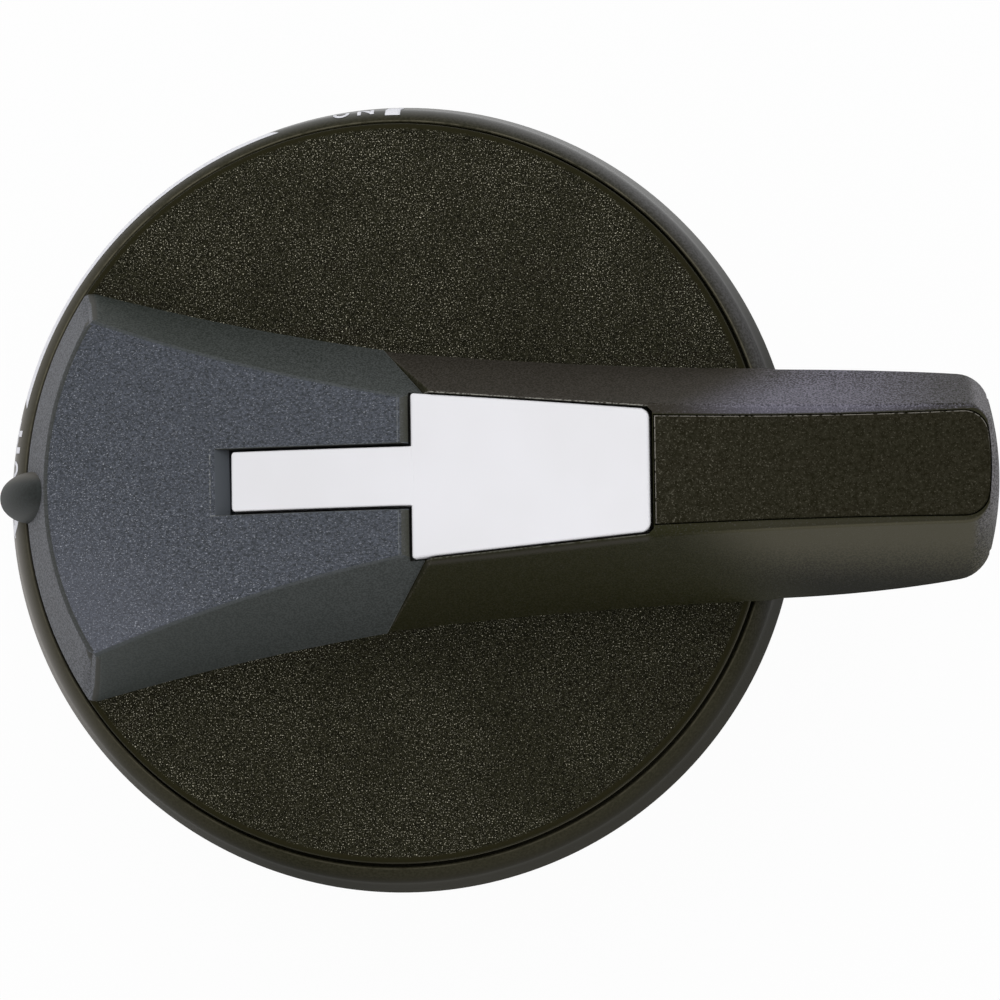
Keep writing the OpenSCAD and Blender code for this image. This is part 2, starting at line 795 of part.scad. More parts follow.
module contact_plate() color([0.78, 0.45, 0.3]) translate([0, 0, bar_z0]) linear_extrude(plate_t)
  difference() {
    union() {
      circle(r = contact_hub_r);
      for (s = [-1, 1]) translate([0, s * stud_x]) circle(r = contact_w);
      translate([-contact_w, -stud_x]) square([2 * contact_w, 2 * stud_x]);
    }
    square(square_a, center = true);
  }

module moving_tips() color([0.85, 0.85, 0.87])
  for (s = [-1, 1]) translate([0, s * stud_x, 0]) rod(tip_r, bar_z0 - tip_t, bar_z0);

module spindle_clip() color([0.35, 0.35, 0.37]) difference() {
  tube(clip_r1, clip_r0, bar_z0 - clip_t, bar_z0);
  translate([0, -clip_gap / 2, bar_z0 - 2 * clip_t]) cube([2 * clip_r1, clip_gap, 3 * clip_t]);
}

module lock_slider() color([0.93, 0.93, 0.94]) difference() {
  intersection() {
    union() {
      translate([0, 0, seat_z]) linear_extrude(top_z) block_plan(0);
      difference() {
        linear_extrude(2 * top_z) bar_plan(0);
        under_dome(slider_drop + bar_t);
      }
    }
    under_dome(slider_drop);
  }
  at_blade_pins() rod(pin_r, 0, seat_z + pin_up);
}

module lock_blade() color([0.2, 0.2, 0.21]) difference() {
  translate([blade_x0, -blade_t / 2, blade_z0])
    cube([blade_x1 - blade_x0, blade_t, seat_z - blade_z0]);
  // padlock slot
  translate([slot_x - slot_l / 2, -blade_t, slot_z0]) cube([slot_l, 2 * blade_t, slot_h]);
  at_blade_pins() rod(pin_r, seat_z - pin_down, seat_z + 1);
  // dimple for the latch spring
  translate([slot_x - latch_w / 2 - gap, blade_t / 2 - dimple_d, latch_z - dimple_h / 2])
    cube([latch_w + 2 * gap, blade_t, dimple_h]);
}

module blade_pins() color([0.7, 0.7, 0.72]) at_blade_pins() rod(pin_r, seat_z - pin_down, seat_z + pin_up);

// strip beside the blade, with a nose in the blade's dimple
module latch_spring() color([0.75, 0.75, 0.78]) {
  y = latch_off + latch_nose;
  translate([slot_x - latch_w / 2, blade_t / 2 + latch_off, 0]) rotate([90, 0, 90])
    linear_extrude(latch_w)
      polygon([[0, blade_z0], [0, latch_z - y], [-y, latch_z - latch_t / 2],
        [-y, latch_z + latch_t / 2], [0, latch_z + y], [0, blade_z0 + latch_l],
        [latch_t, blade_z0 + latch_l], [latch_t, blade_z0]]);
}

dial_ring();
panel_gasket();
mount_inserts();
housing();
index_springs();
index_pins();
bearing_bush();
shaft_seal();
terminal_base();
terminal_studs();
fixed_tips();
base_nuts();
flat_washers();
spring_washers();
stud_nuts();
terminal_shroud();
phase_barrier();
housing_screws();
rotor_disc();
lever_shell();
grip_inlay();
pointer_cover();
handle_screws();
spindle();
spindle_screw();
screw_washer();
thrust_washer();
contact_carrier();
contact_spring();
contact_plate();
moving_tips();
spindle_clip();
lock_slider();
lock_blade();
blade_pins();
latch_spring();
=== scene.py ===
import math
import bpy
from mathutils import Matrix, Vector


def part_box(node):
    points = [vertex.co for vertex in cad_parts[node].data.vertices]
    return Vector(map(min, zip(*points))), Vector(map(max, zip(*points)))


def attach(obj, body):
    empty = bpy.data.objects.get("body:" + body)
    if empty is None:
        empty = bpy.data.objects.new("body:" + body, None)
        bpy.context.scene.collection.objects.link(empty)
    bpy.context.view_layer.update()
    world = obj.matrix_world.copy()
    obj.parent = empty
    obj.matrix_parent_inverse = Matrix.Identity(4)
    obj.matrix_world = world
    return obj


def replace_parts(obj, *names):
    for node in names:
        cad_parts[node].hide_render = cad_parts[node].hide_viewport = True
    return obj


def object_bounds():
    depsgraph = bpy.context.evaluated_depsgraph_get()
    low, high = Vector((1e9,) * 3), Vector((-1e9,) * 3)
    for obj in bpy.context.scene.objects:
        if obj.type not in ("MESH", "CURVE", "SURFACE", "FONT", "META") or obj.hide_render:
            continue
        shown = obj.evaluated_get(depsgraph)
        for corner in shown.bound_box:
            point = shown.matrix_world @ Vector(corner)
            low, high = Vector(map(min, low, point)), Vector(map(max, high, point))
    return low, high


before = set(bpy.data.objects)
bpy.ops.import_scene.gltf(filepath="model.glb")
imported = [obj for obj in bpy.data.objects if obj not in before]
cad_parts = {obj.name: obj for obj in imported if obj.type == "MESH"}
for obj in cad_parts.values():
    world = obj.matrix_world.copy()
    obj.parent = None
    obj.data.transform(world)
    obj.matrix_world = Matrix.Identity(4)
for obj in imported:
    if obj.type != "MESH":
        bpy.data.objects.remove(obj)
cadLow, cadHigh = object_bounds()
mm = 0.001

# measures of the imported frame, in millimetres
ringR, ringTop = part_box("dial_ring")[1][0] / mm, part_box("dial_ring")[1][2] / mm
discR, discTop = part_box("rotor_disc")[1][0] / mm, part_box("rotor_disc")[1][2] / mm
endRim = 1.4  # what is left of the grip beyond its inlay
sliderDrop = 0.15  # slider's top below the crown of the handle
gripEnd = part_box("grip_inlay")[1][0] / mm + endRim
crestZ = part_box("lock_slider")[1][2] / mm + sliderDrop
bladeLow, bladeHigh = (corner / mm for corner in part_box("lock_blade"))
blockLeft = bladeLow.x - 2.24  # block of the slider, left of its blade
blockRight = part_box("lock_slider")[1][0] / mm
crestX = blockRight - 0.45  # highest line of the handle
gripX = crestX + 1  # from here the top is a saddle
lipR = discR + 0.3  # ring's lip, a gap away from the disc
print("frame measured: ring", round(ringR, 2), "disc", round(discR, 2),
      "grip end", round(gripEnd, 2), "crest", round(crestZ, 2))


# hand tools for modelling, all lengths in millimetres

def dropSelection():
    if bpy.context.object and bpy.context.object.mode != "OBJECT":
        bpy.ops.object.mode_set(mode="OBJECT")
    bpy.ops.object.select_all(action="DESELECT")


def takeUp(piece):
    dropSelection()
    piece.select_set(True)
    bpy.context.view_layer.objects.active = piece


def openMesh(piece, kind="EDGE"):
    takeUp(piece)
    bpy.ops.object.mode_set(mode="EDIT")
    bpy.ops.mesh.select_mode(type=kind)
    bpy.ops.mesh.select_all(action="DESELECT")


def closeMesh():
    bpy.ops.object.mode_set(mode="OBJECT")


def settle(piece, name=None):  # its place goes into its mesh
    takeUp(piece)
    bpy.ops.object.transform_apply(location=True, rotation=True, scale=True)
    if name:
        piece.name = piece.data.name = name
    return piece


def box(low, high):
    low, high = Vector(low) * mm, Vector(high) * mm
    dropSelection()
    bpy.ops.mesh.primitive_cube_add(size=1, location=(low + high) / 2)
    bpy.context.object.scale = high - low
    return settle(bpy.context.object)


def rod(radius, low, high, at=(0, 0), sides=96):
    dropSelection()
    bpy.ops.mesh.primitive_cylinder_add(
        vertices=sides, radius=radius * mm, depth=(high - low) * mm,
        location=(at[0] * mm, at[1] * mm, (low + high) / 2 * mm))
    return settle(bpy.context.object)


def cut(piece, tool, how="DIFFERENCE"):
    takeUp(piece)
    change = piece.modifiers.new("cut", "BOOLEAN")
    change.operation = how
    change.solver = "EXACT"
    change.object = tool
    bpy.ops.object.modifier_apply(modifier=change.name)
    bpy.data.objects.remove(tool, do_unlink=True)
    return piece


def chain(points):  # a line drawn by extruding one point onwards
    points = [Vector(p) * mm for p in points]
    dropSelection()
    bpy.ops.mesh.primitive_plane_add(size=mm, location=points[0])
    piece = settle(bpy.context.object)
    openMesh(piece, "VERT")
    bpy.ops.mesh.select_all(action="SELECT")
    bpy.ops.mesh.merge(type="CENTER")
    for a, b in zip(points, points[1:]):
        bpy.ops.mesh.extrude_region_move(TRANSFORM_OT_translate={"value": b - a})
    closeMesh()
    return piece


def slab(points, along, name=None):  # an outline, filled and extruded
    piece = chain(points)
    openMesh(piece, "VERT")
    bpy.ops.mesh.select_all(action="SELECT")
    bpy.ops.mesh.edge_face_add()
    bpy.ops.mesh.extrude_region_move(TRANSFORM_OT_translate={"value": Vector(along) * mm})
    bpy.ops.mesh.select_all(action="SELECT")
    bpy.ops.mesh.normals_make_consistent(inside=False)
    closeMesh()
    return settle(piece, name)


# a section of (radius, height), spun about Z
def turned(points, name=None, turns=240, angle=math.tau, closed=True):
    piece = chain([(r, 0, z) for r, z in points + points[:1] * closed])
    openMesh(piece, "VERT")
    bpy.ops.mesh.select_all(action="SELECT")
    bpy.ops.mesh.remove_doubles(threshold=1e-7)
    bpy.ops.mesh.select_all(action="SELECT")
    bpy.ops.mesh.spin(steps=turns, angle=angle, center=(0, 0, 0), axis=(0, 0, 1))
    bpy.ops.mesh.select_all(action="SELECT")
    bpy.ops.mesh.remove_doubles(threshold=2e-6)
    bpy.ops.mesh.normals_make_consistent(inside=False)
    closeMesh()
    return settle(piece, name)


def fan(centre, radius, start, end, count):  # points of an arc, angles in degrees
    angles = [math.radians(start + (end - start) * i / count) for i in range(count + 1)]
    return [(centre[0] + radius * math.cos(a), centre[1] + radius * math.sin(a)) for a in angles]


def steps(a, b, size=1.0):
    count = max(1, round(abs(b - a) / size))
    return [a + (b - a) * i / count for i in range(count + 1)]


def clean(piece, gap=0.15):  # points nearly doubled by cutting
    openMesh(piece, "VERT")
    bpy.ops.mesh.select_all(action="SELECT")
    bpy.ops.mesh.remove_doubles(threshold=gap * mm)
    bpy.ops.mesh.dissolve_degenerate(threshold=gap * mm / 20)
    bpy.ops.mesh.select_all(action="SELECT")
    bpy.ops.mesh.normals_make_consistent(inside=False)
    closeMesh()
    return piece


def markFaces(piece, fits):
    openMesh(piece, "FACE")
    closeMesh()
    for face in piece.data.polygons:
        face.select = fits is None or fits(face.center / mm, face.normal)
    bpy.ops.object.mode_set(mode="EDIT")


def mergeFaces(piece, fits):  # one face from the strips of a surface, so that edges round evenly
    markFaces(piece, fits)
    bpy.ops.mesh.dissolve_faces()
    closeMesh()


def recut(piece, planes, fits=None):  # the surface's curve comes back, cut along its rulings
    for point, normal in planes:
        markFaces(piece, fits)
        bpy.ops.mesh.bisect(plane_co=Vector(point) * mm, plane_no=normal, threshold=1e-6)
        closeMesh()


def across(left, right, size=1.2):
    return [((x, 0, 0), (1, 0, 0)) for x in steps(left, right, size)[1:-1]]


def roundEdges(piece, width, segments, *picks, bend=25):  # each pick is (which edges, their own width)
    mesh = piece.data
    beside = {}
    for face in mesh.polygons:
        for key in face.edge_keys:
            beside.setdefault(key, []).append(face.normal)
    weights = mesh.attributes.new("bevel_weight_edge", "FLOAT", "EDGE")
    count = 0
    for edge in mesh.edges:
        normals = beside.get(edge.key, [])
        a, b = (mesh.vertices[i].co / mm for i in edge.vertices)
        if len(normals) == 2 and normals[0].angle(normals[1], 0) > math.radians(bend):
            for fits, own in picks:
                if fits((a + b) / 2, (b - a).normalized()):
                    weights.data[edge.index].value = own / width
                    count += 1
                    break
    takeUp(piece)
    soft = piece.modifiers.new("round", "BEVEL")
    soft.limit_method = "WEIGHT"
    soft.width = width * mm
    soft.segments = segments
    soft.use_clamp_overlap = False
    bpy.ops.object.modifier_apply(modifier=soft.name)
    piece.data.attributes.remove(piece.data.attributes["bevel_weight_edge"])
    print("rounded", count, "edges on", piece.name)


def smooth(piece, bend=32, even=True):
    takeUp(piece)
    bpy.ops.object.shade_smooth_by_angle(angle=math.radians(bend))
    if even:
        weigh = piece.modifiers.new("even", "WEIGHTED_NORMAL")
        weigh.keep_sharp = True
        weigh.weight = 100
        bpy.ops.object.modifier_apply(modifier=weigh.name)
    return piece


def fitOut(piece, node, body):
    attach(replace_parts(piece, node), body)
    print(piece.name, "stands for", node, "with", len(piece.data.polygons), "faces")


# surfaces that the handle's pieces share
grip = {
    "topR": gripEnd * 2.604, "saddleR": gripEnd * 4.545,
    "waistX": gripEnd * 0.766, "waistBow": gripEnd * 7.18, "halfWidth": 11.2, "slope": 0.25,
    "underX": lipR, "underZ": discTop + 0.2, "underR": gripEnd * 0.589,
    "endR": gripEnd * 0.46, "endSlope": 0.051, "endZ": discTop * 1.276,
}
wedge = {
    "front": discR * 0.998, "left": -discR * 0.998 * 0.8165, "right": -0.85,
    "wide": 20, "narrow": 13.8, "sag": 0.42, "slope": 0.29, "frontSlope": 0.307, "partSlope": 0.288,
    "cornerRound": 0.95, "topRound": 0.45, "partRound": 0.95, "partEdge": 0.14, "rimRound": 0.1,
}
slider = {
    "reach": 0.2, "wideLeft": 7.8, "wideRight": 5.8, "corner": 0.5,
    "pocketZ": crestZ - 4.5, "seatZ": crestZ - 4.2, "drop": sliderDrop, "gap": 0.3, "sideShare": 0.6,
}
bar = {
    "left": -wedge["front"] * 0.393, "right": blockLeft + 0.2, "wideLeft": 2.83, "wideRight": 2.785,
    "thick": 3.6, "rampLong": 1.75, "rampDeep": 1.7,
}
inlay = {
    "left": blockRight + 0.65, "right": gripEnd - endRim, "half": 4.78, "bow": gripEnd * 9.5,
    "endR": gripEnd * 0.4085, "thick": 1.2, "corner": 2.3, "groove": 0.1, "rimRound": 0.16,
}
slabHalf = 26  # half width of the slabs that the handle's sides are cut from


def domeZ(x, drop=0):  # crowned top of cover, slider and lever
    r = grip["topR"] - drop
    return crestZ - grip["topR"] + math.sqrt(r * r - (x - crestX) ** 2)


def saddleZ(x, drop=0):  # hollow top of the grip
    return crestZ + grip["saddleR"] - drop - math.sqrt(grip["saddleR"] ** 2 - (x - gripX) ** 2)


def partX(z):  # slanted parting plane of wedge and lever
    return wedge["right"] + wedge["partSlope"] * (z - discTop)


def underDome(drop=0):  # all that lies below the crowned top
    left, right, wide, low = -60, 45, 40, -5
    top = [(x, -wide, domeZ(x, drop)) for x in steps(left, right)]
    return slab(top + [(right, -wide, low), (left, -wide, low)], (0, 2 * wide, 0))


def sideRoller(x, halfWidth, bow, slope, side):  # very large cylinder that leaves one flared, bowed side wall
    tilt = math.atan(slope)
    y = side * (halfWidth + bow / math.cos(tilt) ** 2)
    dropSelection()
    bpy.ops.mesh.primitive_cylinder_add(
        vertices=900, radius=bow / math.cos(tilt) * mm, depth=0.3,
        location=(x * mm, y * mm, discTop * mm), rotation=(side * tilt, 0, 0))
    return settle(bpy.context.object)


def barPlan(grow):
    left, right = bar["left"] - grow, bar["right"] + grow
    a, b = bar["wideLeft"] + grow, bar["wideRight"] + grow
    return [(left, -a), (right, -b), (right, b), (left, a)]


def blockPlan(grow):
    k, left, right = slider["corner"], blockLeft - grow, blockRight + slider["reach"] + grow
    a, b = (slider[end] + slider["sideShare"] * grow for end in ("wideLeft", "wideRight"))
    return [(left, -a), (right - k, -b), (right, k - b), (right, b - k), (right - k, b), (left, a)]


def barSlot():
    tool = slab([(x, y, 5) for x, y in barPlan(slider["gap"])], (0, 0, 60))
    return cut(tool, underDome(bar["thick"] + slider["drop"] + slider["gap"]))


def blockPocket():
    return slab([(x, y, slider["pocketZ"]) for x, y in blockPlan(slider["gap"])], (0, 0, 20))


# dial ring
ring = {
    "floor": 5.2, "bore": 8.5, "recess": 30.9, "recessDeep": 0.8, "lip": 0.16, "foot": 0.15,
    "grooveIn": 36.7, "grooveOut": 38.4, "grooveDeep": 1.0, "holeR": 2.52, "holeAt": 33.6, "holeTop": 4.6,
}
wallH = ringTop * 0.59
wallIn = wallH * 0.18
shoulderR = ringTop - wallH
shoulderX = ringR - wallIn - shoulderR
lipAngle = math.degrees(math.acos((lipR + ring["lip"] - shoulderX) / shoulderR))
lipZ = wallH + shoulderR * math.sin(math.radians(lipAngle))


def wallPoint(share):  # a point of the ring's wall, from its foot to the shoulder
    return ringR - wallIn * (0.1 + 0.9 * share), wallH * (0.13 + 0.87 * share)


section = [(ring["bore"], ring["recessDeep"]), (ring["recess"], ring["recessDeep"]), (ring["recess"], 0)]
section += [(ring["grooveIn"], 0), (ring["grooveIn"], ring["grooveDeep"])]
section += [(ring["grooveOut"], ring["grooveDeep"]), (ring["grooveOut"], 0)]
section += [(ringR - ring["foot"], 0), (ringR, ring["foot"])]
section += [wallPoint(share) for share in (0, 0.25, 0.5, 0.75)]
section += fan((shoulderX, wallH), shoulderR, 0, lipAngle, 16)
section += fan((lipR + ring["lip"], lipZ - ring["lip"]), ring["lip"], 90, 180, 3)[1:]
section += [(lipR, ring["floor"]), (ring["bore"], ring["floor"])]
dialRing = turned(section, "dialRing")
for spot in fan((0, 0), ring["holeAt"], 45, 315, 3):  # holes for the inserts
    cut(dialRing, rod(ring["holeR"], -1, ring["holeTop"], spot, 48))
smooth(dialRing, 30, False)
fitOut(dialRing, "dial_ring", "base")

# rotor disc
disc = {"under": 5.5, "hole": 4.2, "edge": ((0, 0.5), (0.12, 0.2), (0.3, 0.06), (0.5, 0))}  # edge: in, down
section = [(disc["hole"], disc["under"]), (discR, disc["under"])]
section += [(discR - inwards, discTop - down) for inwards, down in disc["edge"]] + [(disc["hole"], discTop)]
rotorDisc = turned(section, "rotorDisc")
smooth(rotorDisc, 20, False)
fitOut(rotorDisc, "rotor_disc", "rotor")

# pointer cover, the wide wedge
reach = wedge["right"] - wedge["left"]
turnIn = math.atan((wedge["wide"] - wedge["narrow"]) / reach)
bow = reach * reach / (8 * wedge["sag"])
bowX = (wedge["left"] + wedge["right"]) / 2 + bow * math.sin(turnIn)
bowY = (wedge["wide"] + wedge["narrow"]) / 2 - wedge["sag"] - bow * (1 - math.cos(turnIn))
topEnd = next(x for x in steps(0, 8, 0.01) if x >= partX(domeZ(x)))
hub = {"long": 11, "half": 8, "top": 19, "gap": 0.3, "room": 2.3}
pocketX = blockLeft - slider["gap"]
section = [(x, -slabHalf, domeZ(x)) for x in steps(-40, topEnd)]
section += [(wedge["right"], -slabHalf, discTop), (-40, -slabHalf, discTop)]
pointerCover = slab(section, (0, 2 * slabHalf, 0), "pointerCover")
coneLow, coneHigh = -2, 38  # the front is part of a cone, from here to there above the disc
dropSelection()
bpy.ops.mesh.primitive_cone_add(
    vertices=240, radius1=(wedge["front"] - wedge["frontSlope"] * coneLow) * mm,
    radius2=(wedge["front"] - wedge["frontSlope"] * coneHigh) * mm, depth=(coneHigh - coneLow) * mm,
    location=(0, 0, (discTop + (coneLow + coneHigh) / 2) * mm))
cut(pointerCover, settle(bpy.context.object), "INTERSECT")
for side in (-1, 1):
    cut(pointerCover, sideRoller(bowX, bowY, bow, wedge["slope"], side))
cut(pointerCover, barSlot())
cut(pointerCover, blockPocket())
slotEnd = bar["left"] - slider["gap"]
rampTop = domeZ(bar["left"])
rampZ, over, slotHalf = rampTop - bar["rampDeep"], 50, bar["wideLeft"] + slider["gap"]
ramp = [(slotEnd - 0.08, rampZ), (slotEnd + 0.01, rampZ), (slotEnd + 0.01, over)]
ramp += [(slotEnd - 2 * bar["rampLong"], over),
         (slotEnd - bar["rampLong"] * (1 + 1 / bar["rampDeep"]), rampTop + 1)]
cut(pointerCover, slab([(x, -slotHalf, z) for x, z in ramp], (0, 2 * slotHalf, 0)))
clean(pointerCover, 0.12)
mergeFaces(pointerCover, lambda p, n: n.z > 0.85 and p.z > domeZ(p.x) - 0.6)
mergeFaces(pointerCover, lambda p, n: n.z < 0.6 and n.x < -0.6 and p.x < -28)
for side in (-1, 1):
    mergeFaces(pointerCover, lambda p, n: n.y * side > 0.6 and abs(p.y) > 8.2)


def onDome(p):
    return abs(p.z - domeZ(p.x)) < 0.25


def onParting(p, d):  # edges that run up the parting plane
    return abs(p.x - partX(p.z)) < 0.05 and abs(p.y) > 7.7 and p.z > discTop + 0.2 and abs(d.z) > 0.3


roundEdges(pointerCover, wedge["cornerRound"], 6,
           (lambda p, d: p.x < wedge["left"] + 2.5 and abs(p.y) > 12 and abs(d.z) > 0.5,
            wedge["cornerRound"]),
           (lambda p, d: onDome(p) and abs(p.x - pocketX) < 0.05 and abs(p.y) > bar["wideLeft"] + 0.6,
            wedge["partRound"]),
           (lambda p, d: onDome(p) and abs(p.y) < 3.6 and p.x > slotEnd - 3, wedge["rimRound"]),
           (lambda p, d: onDome(p) and p.x < pocketX - 0.05, wedge["topRound"]),
           (onParting, wedge["partEdge"]))
recut(pointerCover, across(-32, topEnd, 1.4))
rulings = [((0, 0, 0), (math.sin(a), -math.cos(a), 0)) for a in map(math.radians, steps(-34, 34, 2))]
recut(pointerCover, rulings, lambda p, n: n.z < 0.9 and n.x < -0.5 and p.x < -26)
cut(pointerCover, box((-hub["long"] - hub["gap"], -hub["half"] - hub["gap"], discTop - 1),
                      (hub["long"], hub["half"] + hub["gap"], hub["top"] + hub["room"])))
smooth(pointerCover)
fitOut(pointerCover, "pointer_cover", "rotor")

# pointer nub, a beak that leans on the wedge's front over the ring's lip
nub = {"half": 2.5, "out": 3.0, "in": 0.5, "tall": 9.2, "low": discTop + 0.12, "foot": 1.5, "footEdge": 0.9}
beak = [(0, -nub["foot"]), (nub["half"] * 0.9, -nub["foot"]), (nub["half"], -nub["footEdge"])]
beak += [(nub["half"] * math.cos(a), nub["tall"] * math.sin(a)) for a in steps(0, math.pi / 2, 0.08)]
pointerNub = turned(beak, "pointerNub", 64, closed=False)
pointerNub.scale.x = nub["out"] / nub["half"]
settle(pointerNub)
pointerNub.rotation_euler.y = math.atan(wedge["frontSlope"])
pointerNub.location = (-(wedge["front"] - nub["in"]) * mm, 0, nub["low"] * mm)
settle(pointerNub)
openMesh(pointerNub, "FACE")
bpy.ops.mesh.select_all(action="SELECT")
bpy.ops.mesh.bisect(plane_co=(0, 0, nub["low"] * mm), plane_no=(0, 0, -1), clear_outer=True, use_fill=True)
closeMesh()
smooth(pointerNub, 40, False)
fitOut(pointerNub, "pointer_cover", "rotor")


# grip inlay
def inlayPlan(grow):  # bowed sides, bowed end with two soft corners
    left, right, r = inlay["left"] - grow, inlay["right"] + grow, inlay["endR"] + grow
    bow, corner = inlay["bow"], inlay["corner"]
    middle = inlay["right"] - inlay["endR"]
    top = [(x, inlay["half"] + grow + (x - grip["waistX"]) ** 2 / (2 * bow))
           for x in steps(left, right - corner - 0.8, 2)]
    reach = top[-1][1] - corner
    spot = (middle + math.sqrt((r - corner) ** 2 - reach ** 2), reach)
    turn = math.degrees(math.atan2(reach, spot[0] - middle))
    top += fan(spot, corner, 88.5, turn, 9) + fan((middle, 0), r, turn, 0, 8)[1:]
    return top + [(x, -y) for x, y in reversed(top[:-1])]


def inlayForm(grow, high, low):  # between two drops from the saddle
    form = slab([(x, y, 15) for x, y in inlayPlan(grow)], (0, 0, 25))
    left, right, wide = 25, 62, 9
    sheet = [(x, -wide, saddleZ(x, high)) for x in steps(left, right)]
    sheet += [(x, -wide, saddleZ(x, low)) for x in steps(right, left)]
    cut(form, slab(sheet, (0, 2 * wide, 0)), "INTERSECT")
    clean(form, 0.08)
    mergeFaces(form, lambda p, n: n.z > 0.85)
    mergeFaces(form, lambda p, n: n.z < -0.85)
    return form


gripInlay = inlayForm(0, 0, inlay["thick"])
gripInlay.name = gripInlay.data.name = "gripInlay"
roundEdges(gripInlay, inlay["rimRound"], 3,
           (lambda p, d: p.z > saddleZ(p.x) - 0.3 and abs(d.z) < 0.5, inlay["rimRound"]))
recut(gripInlay, across(inlay["left"], inlay["right"]))
smooth(gripInlay)
fitOut(gripInlay, "grip_inlay", "rotor")

# padlocking slider, its block and its bar
lockSlider = slab([(x, y, slider["seatZ"]) for x, y in blockPlan(0)], (0, 0, 20), "lockSlider")
cut(lockSlider, underDome(slider["drop"]), "INTERSECT")
clean(lockSlider, 0.1)
mergeFaces(lockSlider, lambda p, n: n.z > 0.85)
roundEdges(lockSlider, 0.4, 4,
           (lambda p, d: p.x > blockRight - 1.5 and abs(d.z) > 0.8, 0.4),
           (lambda p, d: p.x < blockLeft + 0.1 and abs(p.y) > 7 and abs(d.z) > 0.8, 0.3),
           (lambda p, d: p.z > domeZ(p.x) - 1 and abs(d.z) < 0.5, 0.25))
recut(lockSlider, across(blockLeft, blockRight + slider["reach"]))
sliderBar = slab([(x, y, 20) for x, y in barPlan(0)], (0, 0, 30))
cut(sliderBar, underDome(slider["drop"] + bar["thick"]))
cut(sliderBar, underDome(slider["drop"]), "INTERSECT")
clean(sliderBar, 0.1)
mergeFaces(sliderBar, lambda p, n: n.z > 0.85)
roundEdges(sliderBar, 0.4, 4,
           (lambda p, d: p.x < bar["left"] + 1 and abs(d.z) > 0.8, 0.4),
           (lambda p, d: p.x < blockLeft - 0.3 and p.z > domeZ(p.x) - 1 and abs(d.z) < 0.5, 0.18))
recut(sliderBar, across(bar["left"], bar["right"]))
cut(lockSlider, sliderBar, "UNION")
smooth(lockSlider)
fitOut(lockSlider, "lock_slider", "slider")

# lever shell with its cored grip
lever = {
    "endRound": 2.8, "topRound": 0.5, "underRound": 0.45,
    "wall": 2.2, "rib": 1.5, "coreX": ringR + 1, "bladeGap": 0.3,
}


def leverForm(inset, topDrop, under):  # the grip between its walls, every wall moved in by inset
    top = [(x, -slabHalf, domeZ(x, topDrop)) for x in steps(topEnd, gripX)]
    top += [(x, -slabHalf, saddleZ(x, topDrop)) for x in steps(gripX, gripEnd + 2)[1:]]
    form = slab(top + under, (0, 2 * slabHalf, 0))
    lean = math.atan(grip["endSlope"])
    dropSelection()
    bpy.ops.mesh.primitive_cylinder_add(
        vertices=360, radius=(grip["endR"] - inset) * mm, depth=0.09,
        location=((gripEnd - grip["endR"]) * mm, 0, grip["endZ"] * mm), rotation=(0, -lean, 0))
    end = settle(bpy.context.object)
    cut(end, box((-60, -40, -20), (gripEnd - 16, 40, 50)), "UNION")
    cut(form, end, "INTERSECT")
    for side in (-1, 1):
        cut(form, sideRoller(grip["waistX"], grip["halfWidth"] - inset, grip["waistBow"],
                             grip["slope"], side))
    return form


def underZ(x):  # underside of the grip, free of the ring
    return grip["underZ"] + grip["underR"] - math.sqrt(grip["underR"] ** 2 - (x - grip["underX"]) ** 2)


under = [(x, -slabHalf, underZ(x)) for x in steps(gripEnd + 2, grip["underX"])]
under += [(grip["underX"], -slabHalf, discTop), (wedge["right"], -slabHalf, discTop)]
leverShell = leverForm(0, 0, under)
leverShell.name = leverShell.data.name = "leverShell"


def endCorner(z):  # middle of the round between side wall and end face at a height
    back, x, y = gripEnd - grip["endR"] - grip["endSlope"] * (z - grip["endZ"]), gripEnd - 3, 0
    for _ in range(6):  # closes in on the spot that touches both
        wallY = grip["halfWidth"] + (x - grip["waistX"]) ** 2 / (2 * grip["waistBow"])
        y = wallY - grip["slope"] * (z - discTop) - lever["endRound"]
        x = back + math.sqrt((grip["endR"] - lever["endRound"]) ** 2 - y * y)
    return Vector((x, y, z)), math.degrees(math.atan2(y, x - back))


middle, turn = endCorner(22)
lean = endCorner(32)[0] - endCorner(12)[0]
for side in (-1, 1):
    path = Vector((lean.x, side * lean.y, lean.z))
    start = Vector((middle.x, side * middle.y, middle.z)) - 0.6 * path
    points = fan((start.x, start.y), lever["endRound"], side * turn, side * 92, 8)
    far, outward = 12, math.radians(turn)  # the tool reaches this far outside the corner
    points += [(start.x, start.y + side * far), (start.x + far, start.y + side * far),
               (start.x + far * math.cos(outward), start.y + side * far * math.sin(outward))]
    cut(leverShell, slab([(x, y, start.z) for x, y in points], 1.3 * path))
clean(leverShell, 0.12)
mergeFaces(leverShell, lambda p, n: n.z > 0.85)
mergeFaces(leverShell, lambda p, n: n.z < -0.3 and p.x > grip["underX"] + 0.1)
mergeFaces(leverShell, lambda p, n: n.x > 0.8 and abs(n.y) < 0.3 * n.x and p.x > gripEnd - 6)
for side in (-1, 1):
    mergeFaces(leverShell, lambda p, n: n.y * side > 0.6 and n.x < 0.03)


def onTop(p):
    return p.z > discTop + 12 and abs(p.z - (domeZ(p.x) if p.x < gripX else saddleZ(p.x))) < 0.3


